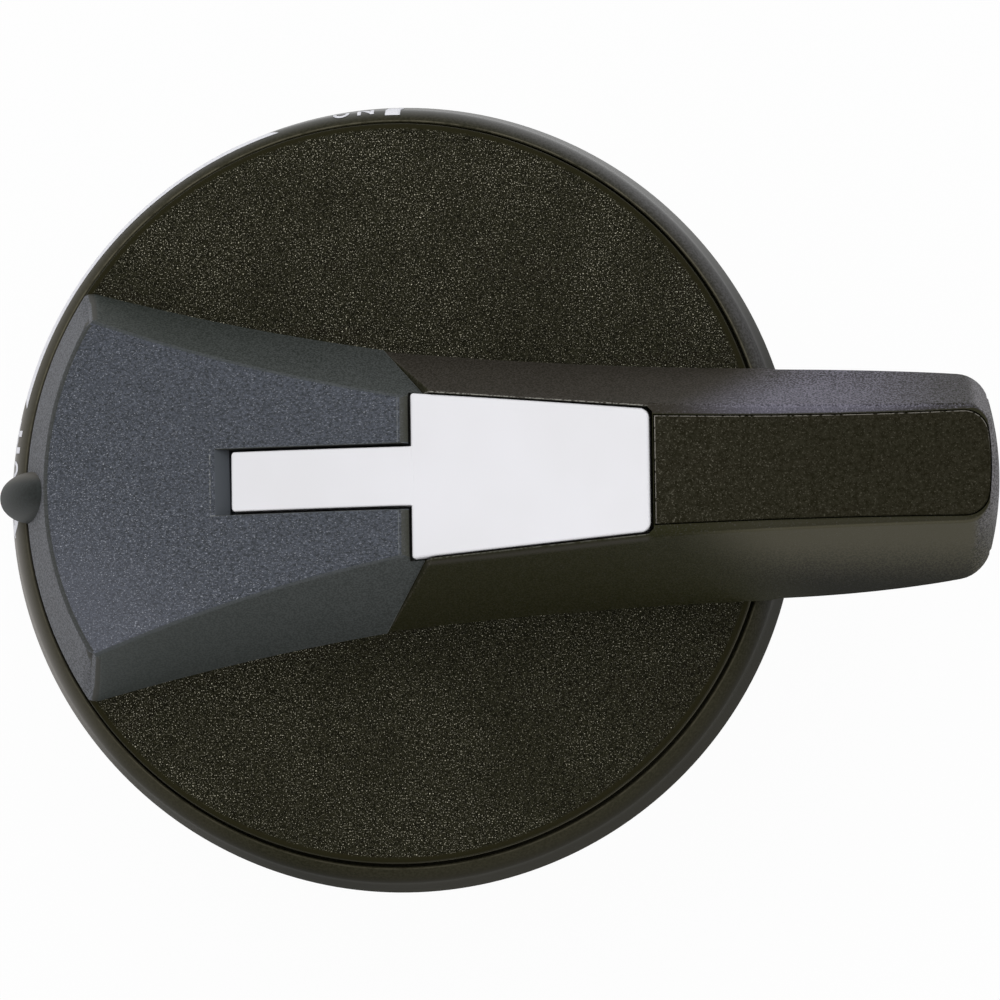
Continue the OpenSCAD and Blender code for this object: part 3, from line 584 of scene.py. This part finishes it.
roundEdges(leverShell, lever["topRound"], 4,
           (lambda p, d: onTop(p) and p.x > partX(p.z) + 0.2, lever["topRound"]),
           (onParting, wedge["partEdge"]),
           (lambda p, d: p.x > grip["underX"] + 0.5 and p.z < saddleZ(p.x) - 3 and abs(d.z) < 0.9,
            lever["underRound"]))
recut(leverShell, across(wedge["right"], gripEnd))
low, high, wide = -5, 60, 30  # tools reach past the grip on every side
cut(leverShell, box((-hub["long"], -hub["half"], discTop), (blockLeft, hub["half"], hub["top"])), "UNION")
room = lever["bladeGap"]
cut(leverShell, box((bladeLow.x - room, bladeLow.y - room, bladeLow.z - room),
                    (bladeHigh.x + room, bladeHigh.y + room, high)))
cut(leverShell, blockPocket())
cut(leverShell, barSlot())
cut(leverShell, inlayForm(inlay["groove"], -3, inlay["thick"] + 0.05))
core = leverForm(lever["wall"], lever["wall"] + inlay["thick"],
                 [(gripEnd + 2, -slabHalf, 0), (0, -slabHalf, 0)])
clean(core, 0.12)
cut(core, box((lever["coreX"], -wide, low), (70, wide, high)), "INTERSECT")
cut(core, box((0, -lever["rib"] / 2, low), (80, lever["rib"] / 2, high)))  # rib along the grip
for i in (1, 2):  # and two across it
    x = lever["coreX"] + i * (gripEnd - lever["coreX"]) / 3
    cut(core, box((x - lever["rib"], -wide, low), (x, wide, high)))
cut(leverShell, core)
smooth(leverShell)
fitOut(leverShell, "lever_shell", "rotor")

# printed marks, wrapped on the ring's wall and shoulder
marks = {
    "ink": (240, 240, 246), "proud": 0.02, "thick": 0.03, "bold": 0.03, "footZ": 0.6,
    "bandTurn": 32, "bandAt": 172, "bandSpan": 70, "bandStart": (107.5, 110.6), "bandEnd": (166, 162.8),
}


def lie(piece):  # laid on the ring and given its thickness
    takeUp(piece)
    wrap = piece.modifiers.new("wrap", "SHRINKWRAP")
    wrap.target = dialRing
    wrap.wrap_method = "NEAREST_SURFACEPOINT"
    wrap.wrap_mode = "ABOVE_SURFACE"
    wrap.offset = marks["proud"] * mm
    bpy.ops.object.modifier_apply(modifier=wrap.name)
    film = piece.modifiers.new("film", "SOLIDIFY")
    film.thickness = marks["thick"] * mm
    film.offset = 1
    bpy.ops.object.modifier_apply(modifier=film.name)
    return piece


def mark(sign, width, height, turn, rise):  # a sign on the ring at its rise, its top away from the lip
    dropSelection()
    bpy.ops.object.text_add()
    glyph = bpy.context.object
    glyph.data.body = sign
    glyph.data.offset = marks["bold"]
    bpy.ops.object.convert(target="MESH")
    glyph = bpy.context.object
    low, high = Vector(glyph.bound_box[0]), Vector(glyph.bound_box[6])
    glyph.scale = (width * mm / (high.x - low.x), height * mm / (high.y - low.y), 1)
    glyph.location = -Vector([a * b for a, b in zip((low + high) / 2, glyph.scale)])
    settle(glyph)
    rows = [((0, y, 0), (0, 1, 0)) for y in steps(-height / 2, height / 2, 0.3)[1:-1]]
    recut(glyph, rows + across(-width / 2, width / 2, 0.5))
    a, b = math.radians(turn), math.radians(rise)
    rightwards = Vector((math.sin(a), -math.cos(a), 0))
    upwards = Vector((math.sin(b) * math.cos(a), math.sin(b) * math.sin(a), -math.cos(b)))
    outwards = rightwards.cross(upwards)
    stand = Matrix((rightwards, upwards, outwards)).transposed().to_4x4()
    foot = Vector((shoulderX * math.cos(a), shoulderX * math.sin(a), wallH)) + shoulderR * outwards
    if rise == 0:  # tall signs reach down the wall
        foot.z = marks["footZ"] + height / 2
    stand.translation = foot * mm
    glyph.matrix_world = stand
    return lie(settle(glyph))


# sign, width, height, its place round the ring and its rise
signs = [("I", 1.5, 7.1, 90, 0), ("O", 5.4, 7.1, 181.2, 0)]
signs += [("N", 1.65, 2.1, 94.1, 17), ("O", 1.65, 2.1, 97.8, 17)]
signs += [(sign, 1.65, 2.5, turn, 13) for sign, turn in (("F", 169.1), ("F", 171.6), ("O", 175.2))]
printed = [mark(*sign) for sign in signs]
rise = math.radians(marks["bandTurn"])
bandTop = (shoulderX + shoulderR * math.cos(rise), wallH + shoulderR * math.sin(rise))
section = [wallPoint(0), wallPoint(0.5)] + fan((shoulderX, wallH), shoulderR, 0, marks["bandTurn"], 6)
band = turned(section, "band", 140, math.radians(marks["bandSpan"]), closed=False)
band.rotation_euler = (0, 0, math.radians(marks["bandAt"]))
settle(band)
for which, keep in (("bandStart", -1), ("bandEnd", 1)):  # slanted ends
    a, b = (math.radians(t) for t in marks[which])
    p = Vector((bandTop[0] * math.cos(a), bandTop[0] * math.sin(a), bandTop[1]))
    q = Vector((wallPoint(0)[0] * math.cos(b), wallPoint(0)[0] * math.sin(b), wallPoint(0)[1]))
    openMesh(band, "FACE")
    bpy.ops.mesh.select_all(action="SELECT")
    slant = keep * (q - p).cross(Vector((p.x, p.y, 0)))
    bpy.ops.mesh.bisect(plane_co=p * mm, plane_no=slant, clear_inner=True, threshold=1e-6)
    closeMesh()
lie(band)
dropSelection()
for piece in [band] + printed:
    piece.select_set(True)
bpy.context.view_layer.objects.active = band
bpy.ops.object.join()
printedMarks = settle(band, "printedMarks")
openMesh(printedMarks, "VERT")
bpy.ops.mesh.select_all(action="SELECT")
bpy.ops.mesh.normals_make_consistent(inside=False)
closeMesh()
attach(printedMarks, "base")
print("marks printed", len(printedMarks.data.polygons), "faces")


# shader maths: expressions on wires add their nodes
class Wire:
    def __init__(self, sheet, socket):
        self.sheet, self.socket = sheet, socket

    def reckon(self, operation, *values):
        return self.sheet.node("ShaderNodeMath", {"operation": operation}, dict(enumerate(values)))

    def __add__(self, other):
        return self.reckon("ADD", self, other)

    def __sub__(self, other):
        return self.reckon("SUBTRACT", self, other)

    def __rsub__(self, other):
        return self.reckon("SUBTRACT", other, self)

    def __mul__(self, other):
        return self.reckon("MULTIPLY", self, other)

    def __pow__(self, other):
        return self.reckon("POWER", self, other)

    def __abs__(self):
        return self.reckon("ABSOLUTE", self)

    __radd__, __rmul__ = __add__, __mul__

    def above(self, low, high):  # 0 below low, 1 above high, soft between
        ends = {"Value": self, "From Min": low, "From Max": high}
        return self.sheet.node("ShaderNodeMapRange", {"interpolation_type": "SMOOTHSTEP"}, ends)

    def near(self, spot, width):  # 1 at the spot, 0 a width away
        return 1 - abs(self - spot).above(0, width)


def tone(r, g, b):  # display colour to the shader's
    return [(c / 255 / 12.92 if c <= 10 else ((c / 255 + 0.055) / 1.055) ** 2.4) for c in (r, g, b)] + [1]


class Sheet:  # a node tree to write on
    def __init__(self, tree):
        self.tree = tree

    def node(self, kind, settings=None, values=None, pick=0):
        made = self.tree.nodes.new(kind)
        for key, value in (settings or {}).items():
            setattr(made, key, value)
        for key, value in (values or {}).items():
            if isinstance(value, Wire):
                self.tree.links.new(value.socket, made.inputs[key])
            else:
                made.inputs[key].default_value = value
        return Wire(self, made.outputs[pick])

    def also(self, wire, pick):  # another output of the same node
        return Wire(self, wire.socket.node.outputs[pick])

    def seen(self):  # 1 for what the eye, a gloss or a glass looks at
        eye = self.node("ShaderNodeLightPath", pick="Is Camera Ray")
        gloss = eye.reckon("MAXIMUM", eye, self.also(eye, "Is Glossy Ray"))
        return gloss.reckon("MAXIMUM", gloss, self.also(eye, "Is Transmission Ray"))


class Finish(Sheet):  # one material around its shader, with its colours by name
    def __init__(self, name, fixed, shades=None):
        self.material = bpy.data.materials.new(name)
        self.material.use_nodes = True
        super().__init__(self.material.node_tree)
        self.shader = self.tree.nodes["Principled BSDF"]
        for socket, value in fixed.items():
            self.shader.inputs[socket].default_value = value
        self.shades = {key: tone(*colour) for key, colour in (shades or {}).items()}
        spot = self.node("ShaderNodeTexCoord", pick="Object")
        self.place = self.node("ShaderNodeVectorMath", {"operation": "SCALE"}, {0: spot, "Scale": 1 / mm})
        self.x = self.node("ShaderNodeSeparateXYZ", {}, {0: self.place})
        self.y, self.z = self.also(self.x, "Y"), self.also(self.x, "Z")
        self.faceX = self.node("ShaderNodeSeparateXYZ", {}, {0: self.also(spot, "Normal")})
        self.faceY, self.faceZ = self.also(self.faceX, "Y"), self.also(self.faceX, "Z")

    def noise(self, size, detail=1.5, rough=0.6, stretch=(1, 1, 1), shift=0):  # size of a blob in millimetres
        spread = {0: self.place, 1: [s / size for s in stretch], 2: (shift, shift * 1.7, shift * 2.3)}
        spot = self.node("ShaderNodeVectorMath", {"operation": "MULTIPLY_ADD"}, spread)
        values = {"Vector": spot, "Scale": 1, "Detail": detail, "Roughness": rough}
        return self.node("ShaderNodeTexNoise", {}, values, "Fac")

    def tint(self, under, over, share):  # colours by name or by wire
        under, over = (self.shades[c] if isinstance(c, str) else c for c in (under, over))
        return self.node("ShaderNodeMix", {"data_type": "RGBA"}, {0: share, 6: under, 7: over}, 2)

    def relief(self, height, depth):  # depth in millimetres
        values = {"Height": height, "Distance": depth * mm, "Strength": 1}
        return self.node("ShaderNodeBump", {}, values, "Normal")

    def paint(self, *pieces, **wires):
        sockets = {"colour": "Base Color", "rough": "Roughness", "normal": "Normal", "coat": "Coat Weight"}
        for key, wire in wires.items():
            self.tree.links.new(wire.socket, self.shader.inputs[sockets[key]])
        for piece in pieces:
            if not piece.material_slots:
                piece.data.materials.append(self.material)
            for place in piece.material_slots:
                place.material = self.material


def blackPlastic(name, shades):  # moulded black with hardly any gloss
    return Finish(name, {"Specular IOR Level": 0.05}, shades)


# disc: dark moulded grain full of light specks; the specks are partly grain and partly painted glints, denser
# towards the top and lower left, and its side carries painted light on the near side
look = blackPlastic("discGrain", {
    "pit": (10, 9, 1), "ground": (40, 39, 26), "speck": (232, 226, 202),
    "edge": (34, 32, 16), "side": (78, 75, 61)})
radius = (look.x * look.x + look.y * look.y) ** 0.5
edge = radius.above(discR - 0.75, discR - 0.45)
grain = look.noise(0.14, 2, 0.7)
# painted glints: specks denser towards the top and lower left
speckGlintDensity = 0.8 + 0.45 * look.y.above(-8, 32) + 0.4 * (0 - look.x - look.y).above(10, 46)
speckGlintDensity = speckGlintDensity * (0.75 + 0.5 * look.noise(9, 1).above(0.35, 0.65))
colour = look.tint("pit", "ground", look.noise(0.22, 2, shift=3).above(0.3, 0.7))
colour = look.tint(colour, "speck", grain.above(0.57, 0.8) * speckGlintDensity)
colour = look.tint(colour, "edge", edge)
# painted light: the disc's side made lighter on the near side, in the gap's shade
colour = look.tint(colour, "side", (1 - look.faceZ.above(0.2, 0.4)) * (0 - look.y).above(-10, 10))
look.paint(rotorDisc, colour=colour, rough=0.6 + 0.2 * grain, normal=look.relief(grain * (1 - edge), 0.04))

# ring: warm black satin; painted shade on its steep wall, painted reflections on its left, painted highlights
# at the upper right and along the lip, painted light in the gap on the near side
look = Finish("ringSatin", {"Specular IOR Level": 0.05, "Coat Roughness": 0.3, "Coat IOR": 1.45}, {
    "ground": (36, 35, 21), "grain": (55, 53, 39), "wall": (12, 12, 5), "leftReflection": (84, 80, 68),
    "paintedHighlight": (98, 97, 101), "wallReflection": (160, 156, 151), "paintedGlint": (112, 107, 90), "inside": (120, 116, 98)})
radius = (look.x * look.x + look.y * look.y) ** 0.5
grain = look.noise(0.25, 2)
colour = look.tint("ground", "grain", grain.above(0.3, 0.7))
# painted shade: the steep wall darker than the top
colour = look.tint(colour, "wall", 0.75 * (1 - look.faceZ.above(0.2, 0.9)))
# painted reflection: lighter towards the left, a little at the bottom
leftReflectionShare = 0.36 * (0 - look.x).above(8, 34) + 0.16 * (0 - look.y).above(5, 25) * (look.x + 14).above(0, 20)
colour = look.tint(colour, "leftReflection", leftReflectionShare)
# painted highlight on the upper right of the shoulder
paintedHighlight = (look.x + 0.6 * look.y).above(22, 44) * radius.near(lipR + 1, 1.2)
colour = look.tint(colour, "paintedHighlight", 0.35 * paintedHighlight * (0.6 + 0.8 * grain.above(0.3, 0.7)))
# painted reflection on the lower wall at the left
colour = look.tint(colour, "wallReflection", 0.78 * (0 - look.x).above(26, 38) * (1 - look.z.above(5, 8)))
leftward = (0 - look.x).above(8, 30)
polish = (0.06 + 0.64 * look.y.above(10, 37)) * leftward.reckon("MAXIMUM", leftward, look.y.above(-22, 4))
polish = polish * (1 - look.faceZ.above(0.55, 0.85))
# painted highlight along the lip, broken by noise and brighter on the upper side
paintedGlint = radius.near(lipR + 0.2, 0.13) * look.z.above(ringTop - 0.9, ringTop - 0.7)
paintedGlint = paintedGlint * look.noise(1.5, 2, shift=5).above(0.25, 0.6)
colour = look.tint(colour, "paintedGlint", (0.3 + 0.3 * look.y.above(-5, 15)) * paintedGlint)
# painted light: the lip's inner wall made lighter on the near side, in the gap's shade
inside = (1 - radius.above(lipR - 0.1, lipR)) * (1 - look.faceZ.above(0.3, 0.5)) * (0 - look.y).above(-10, 10)
colour = look.tint(colour, "inside", inside)
look.paint(dialRing, colour=colour, coat=polish, rough=0.62 + 0.16 * grain, normal=look.relief(grain, 0.01))

# pointer cover: slate grain on top, plainer flanks, light lines along the slot and pocket edges; painted
# light on the lower flanks, painted reflection on the front face, painted shade on the front corners, painted
# highlights on the top, its side rounds and the parting edge
look = Finish("coverSlate", {"Specular IOR Level": 0.12}, {
    "flank": (38, 43, 39), "flankGrain": (68, 72, 69), "lowFlankLight": (78, 82, 81), "frontCornerShade": (62, 58, 49),
    "rightFlank": (64, 67, 66), "rightGrain": (98, 101, 102),
    "front": (68, 69, 71), "frontLitGrain": (104, 106, 112),
    "top": (46, 49, 52), "topGrain": (83, 87, 96), "speck": (196, 199, 208), "topHighlight": (106, 108, 118),
    "frontEdge": (58, 60, 57), "sideEdgeHighlight": (76, 79, 82), "corner": (48, 48, 43), "pocketEdge": (68, 68, 60),
    "pocketLine": (116, 119, 120), "parting": (132, 134, 130), "ramp": (82, 86, 91), "rim": (140, 142, 140)})
top = look.faceZ.above(0.84, 0.93)
grain = look.noise(0.115, 2, 0.7, (0.6, 1, 1))
flankGrain = look.noise(0.18, 1.5, 0.6, (1, 1, 0.42), 2)
fine = flankGrain.above(0.4, 0.6)
front = (0 - look.faceX).above(0.45, 0.6)
flank = look.tint("flank", "flankGrain", fine)
# painted light: the lower flanks made lighter
flank = look.tint(flank, "lowFlankLight", 0.5 * (0 - look.faceY).above(0.2, 0.6))
flank = look.tint(flank, look.tint("rightFlank", "rightGrain", fine), 0.35 * look.x.above(-30, 2))
# painted reflection: the front face lighter, mirroring the pale floor
flank = look.tint(flank, look.tint("front", "frontLitGrain", fine), front)
# painted shade on the rounds between front and flanks
flank = look.tint(flank, "frontCornerShade", 0.6 * (0 - look.faceX).above(0.1, 0.35) * (1 - front))
lowLeft = 0 - look.x - look.y
speck = look.tint("top", "topGrain", look.noise(0.2, 2, stretch=(0.6, 1, 1), shift=4).above(0.25, 0.75))
# specks partly grain and partly painted glints, denser towards the lower left, with a painted highlight there
speck = look.tint(speck, "speck", (0.65 + 0.65 * lowLeft.above(5, 45)) * grain.above(0.54, 0.85))
speck = look.tint(speck, "topHighlight", 0.35 * lowLeft.above(22, 45) * (0 - look.y).above(-4, 10))
colour = look.tint(flank, speck, top)
turning = look.faceZ.above(0.4, 0.55) * (1 - top)  # rounds between the top and the flanks
colour = look.tint(colour, "frontEdge", 0.75 * turning * (0 - look.faceX).above(0.25, 0.4))
# painted highlight along the side rounds
colour = look.tint(colour, "sideEdgeHighlight", 0.5 * turning * abs(look.faceY).above(0.25, 0.4))
# more painted shade on the front corners
corner = (0 - look.faceX).above(-0.12, 0.05) * (1 - (0 - look.faceX).above(0.42, 0.55))
colour = look.tint(colour, "corner", 0.85 * corner * (1 - look.faceZ.above(0.5, 0.62)))
edgeX = pocketX - wedge["partRound"]
level = 1 - abs(look.faceY).above(0.3, 0.6)
falling = look.x.above(edgeX + 0.1, edgeX + 0.35) * look.z.above(discTop + 12, discTop + 13) * level
colour = look.tint(colour, "pocketEdge", 0.75 * falling)
colour = look.tint(colour, "pocketLine", 0.6 * look.x.near(edgeX, 0.08) * top)
# painted highlight along the parting edge, broken by noise
parting = (look.x - wedge["right"] - wedge["partSlope"] * (look.z - discTop)).near(-0.07, 0.1)
parting = parting * look.noise(0.4, 2, shift=12).above(0.3, 0.5)
colour = look.tint(colour, "parting", 0.75 * parting * (1 - level))
inSlot = 1 - abs(look.y).above(bar["wideLeft"] + 0.33, bar["wideLeft"] + 0.37)
inSlot = look.x.above(slotEnd - 2.2, slotEnd - 2.1) * inSlot * look.faceX.above(0.25, 0.4)
colour = look.tint(colour, "ramp", inSlot)
narrowing = (bar["wideLeft"] - bar["wideRight"]) / (bar["right"] - bar["left"])
rim = abs(look.y) - bar["wideLeft"] - slider["gap"] - 0.03 + (look.x - bar["left"]) * narrowing
rim = rim.near(0, 0.09) * look.x.above(slotEnd - bar["rampLong"] - 0.1, slotEnd - bar["rampLong"])
atRamp = look.x.near(slotEnd - bar["rampLong"] - 0.05, 0.1)
rim = rim + atRamp * (1 - abs(look.y).above(bar["wideLeft"] + 0.3, bar["wideLeft"] + 0.4))
colour = look.tint(colour, "rim", rim * top * 0.7 * look.noise(0.3, 2, shift=8).above(0.4, 0.6))
bumps = grain * top + 0.3 * flankGrain
look.paint(pointerCover, colour=colour, rough=0.5 + 0.2 * grain, normal=look.relief(bumps, 0.025))

# nub: the same plastic, its upper side lighter as a painted highlight
look = Finish("nubSlate", {"Specular IOR Level": 0.15}, {
    "ground": (30, 33, 31), "grain": (42, 46, 45), "paintedHighlight": (94, 89, 80)})
grain = look.noise(0.3, 2)
colour = look.tint("ground", "grain", grain.above(0.3, 0.7))
# painted highlight on the upper side
colour = look.tint(colour, "paintedHighlight", 0.6 * look.y.above(0.9, 2.1))
look.paint(pointerNub, colour=colour, rough=0.5 + 0.1 * grain, normal=look.relief(grain, 0.01))

# lever: matt black with a fine grain, upper sides lighter and lower sides darker as painted light and shade,
# and the grip past the ring lighter as painted light from the pale floor; near is its arm, far the grip's end
look = blackPlastic("leverGrain", {
    "low": (36, 36, 18), "lowGrain": (47, 46, 30), "up": (43, 40, 33), "upGrain": (66, 62, 56),
    "gripTop": (44, 43, 28), "gripUp": (30, 28, 30), "gripUpGrain": (118, 115, 127),
    "gripHighlight": (136, 134, 148), "gripLow": (14, 14, 2), "gripLowGrain": (80, 77, 62),
    "endLow": (34, 33, 18), "endLowGrain": (74, 71, 56), "end": (82, 80, 80), "endGrain": (122, 120, 122),
    "speck": (196, 194, 208), "lip": (70, 67, 61), "rim": (158, 156, 148), "parting": (92, 88, 78)})
flat = look.faceZ.above(0.75, 0.9)
grain = look.noise(0.15, 2, 0.7, shift=1)
side = look.noise(0.19, 1.5, 0.6, (1, 1, 0.4), 1).above(0.4, 0.6) * (1 - flat)
side = side + (0.2 + 0.4 * grain.above(0.3, 0.7)) * flat
bowed = look.x - grip["waistX"]
strip = inlay["half"] + 0.1 + bowed * bowed * (0.5 / inlay["bow"])
upper = look.faceY.above(0.3, 0.6) + (look.y - strip).above(0, 0.2) * flat
lower = (0 - look.faceY).above(0.3, 0.6) + (0 - look.y - strip).above(0, 0.2) * flat
end = look.faceX.above(0.2, 0.5)
# past the ring the grip is painted lighter: painted light from the pale floor
out = (look.x + 0.3 * look.z).above(36, 47)
# painted light and shade: the arm's upper side lighter than its lower
near = look.tint(look.tint("low", "lowGrain", side), look.tint("up", "upGrain", side), upper)
# painted light on the grip's upper flank, fading towards the end
gripUp = look.tint("gripUp", "gripUpGrain", side)
far = look.tint("gripTop", gripUp, upper * (1 - 0.7 * look.x.above(42, 58)))
# painted highlight high on the upper flank
far = look.tint(far, "gripHighlight", (0.22 - 0.22 * look.x.above(40, 54)) * upper * look.z.above(14, 26))
# painted shade: the lower flank darker towards the bottom
gripLow = look.tint("gripLow", "gripLowGrain", (1 - 0.6 * flat) * (look.z + 3 * side).above(15, 30))
far = look.tint(far, gripLow, lower)
# painted light and shade: the end face lighter on its upper part, darker on its lower
face = look.tint(look.tint("endLow", "endLowGrain", side), look.tint("end", "endGrain", side),
                 look.y.above(-9, -2))
far = look.tint(far, face, end)
colour = look.tint(near, far, out)
# specks partly grain and partly painted glints, stronger on the upper flank and end past the ring
colour = look.tint(colour, "speck", grain.above(0.55, 0.8) * (0.08 + 0.4 * out * (upper + end)))
pocketHalf = slider["wideLeft"] + slider["sideShare"] * slider["gap"]
narrowing = (slider["wideLeft"] - slider["wideRight"]) / (blockRight - blockLeft)
beside = abs(look.y) - pocketHalf + (look.x - blockLeft) * narrowing
along = look.z.above(27.5, 28) * (1 - look.x.above(blockRight - 0.2, blockRight + 0.2))
colour = look.tint(colour, "lip", 0.7 * beside.near(0.4, 0.3) * along * (0 - look.y).above(0, 1))
rim = beside.near(0.05, 0.1) * along
rough = look.noise(0.25, 2, shift=13).above(0.38, 0.55)
colour = look.tint(colour, "rim", (0.3 + 0.55 * look.y.above(0, 1)) * rim * rough)
# painted highlight along the parting edge, broken by noise
parting = (look.x - wedge["right"] - wedge["partSlope"] * (look.z - discTop)).near(0.07, 0.1)
colour = look.tint(colour, "parting", 0.5 * parting * look.noise(0.4, 2, shift=12).above(0.4, 0.6))
look.paint(leverShell, colour=colour, rough=0.58 + 0.16 * grain, normal=look.relief(grain, 0.02))

# inlay: dark flecked pad
look = blackPlastic("inlayFleck", {
    "ground": (24, 22, 9), "grain": (43, 41, 30), "fleck": (122, 118, 104), "paintedGlint": (150, 145, 136)})
grain = look.noise(0.16, 2, 0.7, shift=7)
colour = look.tint("ground", "grain", look.noise(0.35, 2, shift=9).above(0.25, 0.75))
colour = look.tint(colour, "fleck", 0.9 * grain.above(0.54, 0.84) * (1 - 0.5 * look.x.above(30, 44)))
# painted highlight along the inlay's upper and left edges, broken by noise
paintedGlint = (1 - look.faceZ.above(0.8, 0.97)) * look.noise(0.45, 2, shift=11).above(0.4, 0.5)
paintedGlint = paintedGlint * (look.y.above(0, 5) + (0 - look.faceX).above(0.2, 0.4))
colour = look.tint(colour, "paintedGlint", 0.75 * paintedGlint)
look.paint(gripInlay, colour=colour, rough=0.66 + 0.16 * grain, normal=look.relief(grain, 0.03))

# slider: smooth white plastic
look = Finish("sliderWhite", {"Specular IOR Level": 0.35}, {
    "white": (231, 230, 233), "cloud": (235, 234, 238)})
grain = look.noise(0.7, 2)
colour = look.tint("white", "cloud", look.noise(12, 2, shift=2).above(0.3, 0.7))
look.paint(lockSlider, colour=colour, rough=0.36 + 0.1 * grain, normal=look.relief(grain, 0.002))

# print: thin white ink
look = Finish("printInk", {"Specular IOR Level": 0.3}, {"ink": marks["ink"], "thin": (205, 205, 214)})
colour = look.tint("ink", "thin", look.noise(0.4, 2).above(0.55, 0.8))
look.paint(printedMarks, colour=colour, rough=0.5 + 0.1 * look.noise(0.4, 2))


# finishes of the working parts behind the panel
def named(*nodes):
    return [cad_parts[node] for node in nodes]


def moulded(name, light, dark, pieces, rough=0.5, grainSize=0.35):
    fleck = [min(255, c + 24) for c in light]
    look = Finish(name, {"Specular IOR Level": 0.3}, {"light": light, "dark": dark, "fleck": fleck})
    grain = look.noise(grainSize, 2)
    colour = look.tint("dark", "light", grain.above(0.3, 0.7))
    colour = look.tint(colour, "fleck", 0.5 * look.noise(0.15, 1, shift=3).above(0.66, 0.8))
    look.paint(*pieces, colour=colour, rough=rough + 0.2 * grain, normal=look.relief(grain, 0.02))


def metal(name, light, dark, pieces, rough=0.28, plating=0.5):
    look = Finish(name, {"Metallic": 1}, {"light": light, "dark": dark})
    lines = look.noise(0.5, 3, 0.6, (0.15, 0.15, 3))
    tarnish = look.noise(3, 3, 0.6, shift=5)
    colour = look.tint("light", "dark", plating * tarnish.above(0.4, 0.75))
    uneven = rough + 0.16 * lines + 0.2 * tarnish.above(0.5, 0.8)
    look.paint(*pieces, colour=colour, rough=uneven, normal=look.relief(lines, 0.004))


moulded("housingBlack", (48, 47, 42), (34, 33, 28), named("housing", "terminal_shroud"), 0.5)
moulded("bladeBlack", (46, 45, 40), (34, 33, 28), named("lock_blade"), 0.45)
moulded("rubberBlack", (40, 40, 40), (27, 27, 27), named("panel_gasket", "shaft_seal"), 0.72, 0.2)
moulded("thermosetBrown", (92, 58, 42), (66, 40, 30), named("terminal_base"), 0.42, 0.5)
moulded("thermosetGrey", (118, 112, 98), (92, 87, 76), named("contact_carrier", "phase_barrier"), 0.45, 0.5)
moulded("thrustNatural", (206, 200, 182), (186, 180, 160), named("thrust_washer"), 0.4)
metal("brass", (214, 178, 104), (150, 112, 58), named(
    "mount_inserts", "terminal_studs", "base_nuts", "stud_nuts"))
metal("bronze", (186, 132, 84), (128, 84, 52), named("bearing_bush"), 0.34)
metal("copper", (206, 128, 92), (140, 78, 54), named("contact_plate"))
metal("silver", (222, 220, 212), (160, 154, 140), named("fixed_tips", "moving_tips"), 0.3)
metal("zincedSteel", (196, 198, 196), (140, 142, 134), named(
    "flat_washers", "spring_washers", "housing_screws", "handle_screws", "spindle_screw", "screw_washer"))
metal("springSteel", (128, 130, 134), (84, 84, 86), named(
    "index_springs", "contact_spring", "latch_spring", "spindle_clip"), 0.24)
metal("groundSteel", (178, 180, 182), (128, 128, 128), named("index_pins", "spindle", "blade_pins"), 0.2, 0.3)
print("finishes given:", len(bpy.data.materials))

# camera
camera = {"at": (44.63, -39.91, 556.34), "to": (10.172, -0.964, 8.8),
          "roll": 0.83, "lens": 203.1, "sensor": 36}
eye, target = Vector(camera["at"]) * mm, Vector(camera["to"]) * mm
backward = (eye - target).normalized()
rightward = Vector((0, 1, 0)).cross(backward).normalized()
upright = Matrix((rightward, backward.cross(rightward), backward)).transposed()
aim = upright @ Matrix.Rotation(math.radians(-camera["roll"]), 3, "Z")
dropSelection()
bpy.ops.object.camera_add(location=eye, rotation=aim.to_euler())
shot = bpy.context.object
shot.data.lens = camera["lens"]
shot.data.sensor_width = camera["sensor"]
bpy.context.scene.camera = shot
bpy.context.scene.view_settings.view_transform = "Standard"

# studio, in metres: pale floor, soft lamps, a world that shows white and lights plainly
studio = {"floor": 6, "pale": (236, 236, 238), "white": 0.96, "fill": 0.55, "lampTone": (0.98, 0.99, 1.0)}
lamps = [{"at": (0.05, 0.3, 1.0), "size": 0.8, "power": 4.6},
         {"at": (-0.6, -0.1, 0.8), "size": 0.7, "power": 0.5}]
dropSelection()
bpy.ops.mesh.primitive_plane_add(size=studio["floor"], location=(0, 0, cadLow[2]))
floor = settle(bpy.context.object, "floor")
openMesh(floor, "FACE")
bpy.ops.mesh.select_all(action="SELECT")
bpy.ops.mesh.subdivide(number_cuts=4)
closeMesh()
look = Finish("floorPale", {"Roughness": 0.9, "Base Color": tone(*studio["pale"]), "Specular IOR Level": 0.1})
glow = look.node("ShaderNodeEmission", {}, {"Color": (1, 1, 1, 1), "Strength": 1})
plain = Wire(look, look.shader.outputs["BSDF"])
both = look.node("ShaderNodeMixShader", {}, {0: studio["white"] * look.seen(), 1: plain, 2: glow})
look.tree.links.new(both.socket, look.tree.nodes["Material Output"].inputs["Surface"])
floor.data.materials.append(look.material)
world = bpy.data.worlds.new("room")
bpy.context.scene.world = world
world.use_nodes = True
room = Sheet(world.node_tree)
sky = room.tree.nodes["Background"]
sky.inputs["Color"].default_value = (1, 1, 1, 1)
strength = studio["fill"] + (1 - studio["fill"]) * room.seen()
room.tree.links.new(strength.socket, sky.inputs["Strength"])
for plan in lamps:
    dropSelection()
    bpy.ops.object.light_add(type="AREA", location=plan["at"])
    lamp = bpy.context.object
    lamp.data.shape = "DISK"
    lamp.data.size = plan["size"]
    lamp.data.energy = plan["power"]
    lamp.data.color = studio["lampTone"]
    lamp.rotation_euler = Vector(plan["at"]).to_track_quat("Z", "Y").to_euler()
print("studio set:", len(lamps), "lamps")
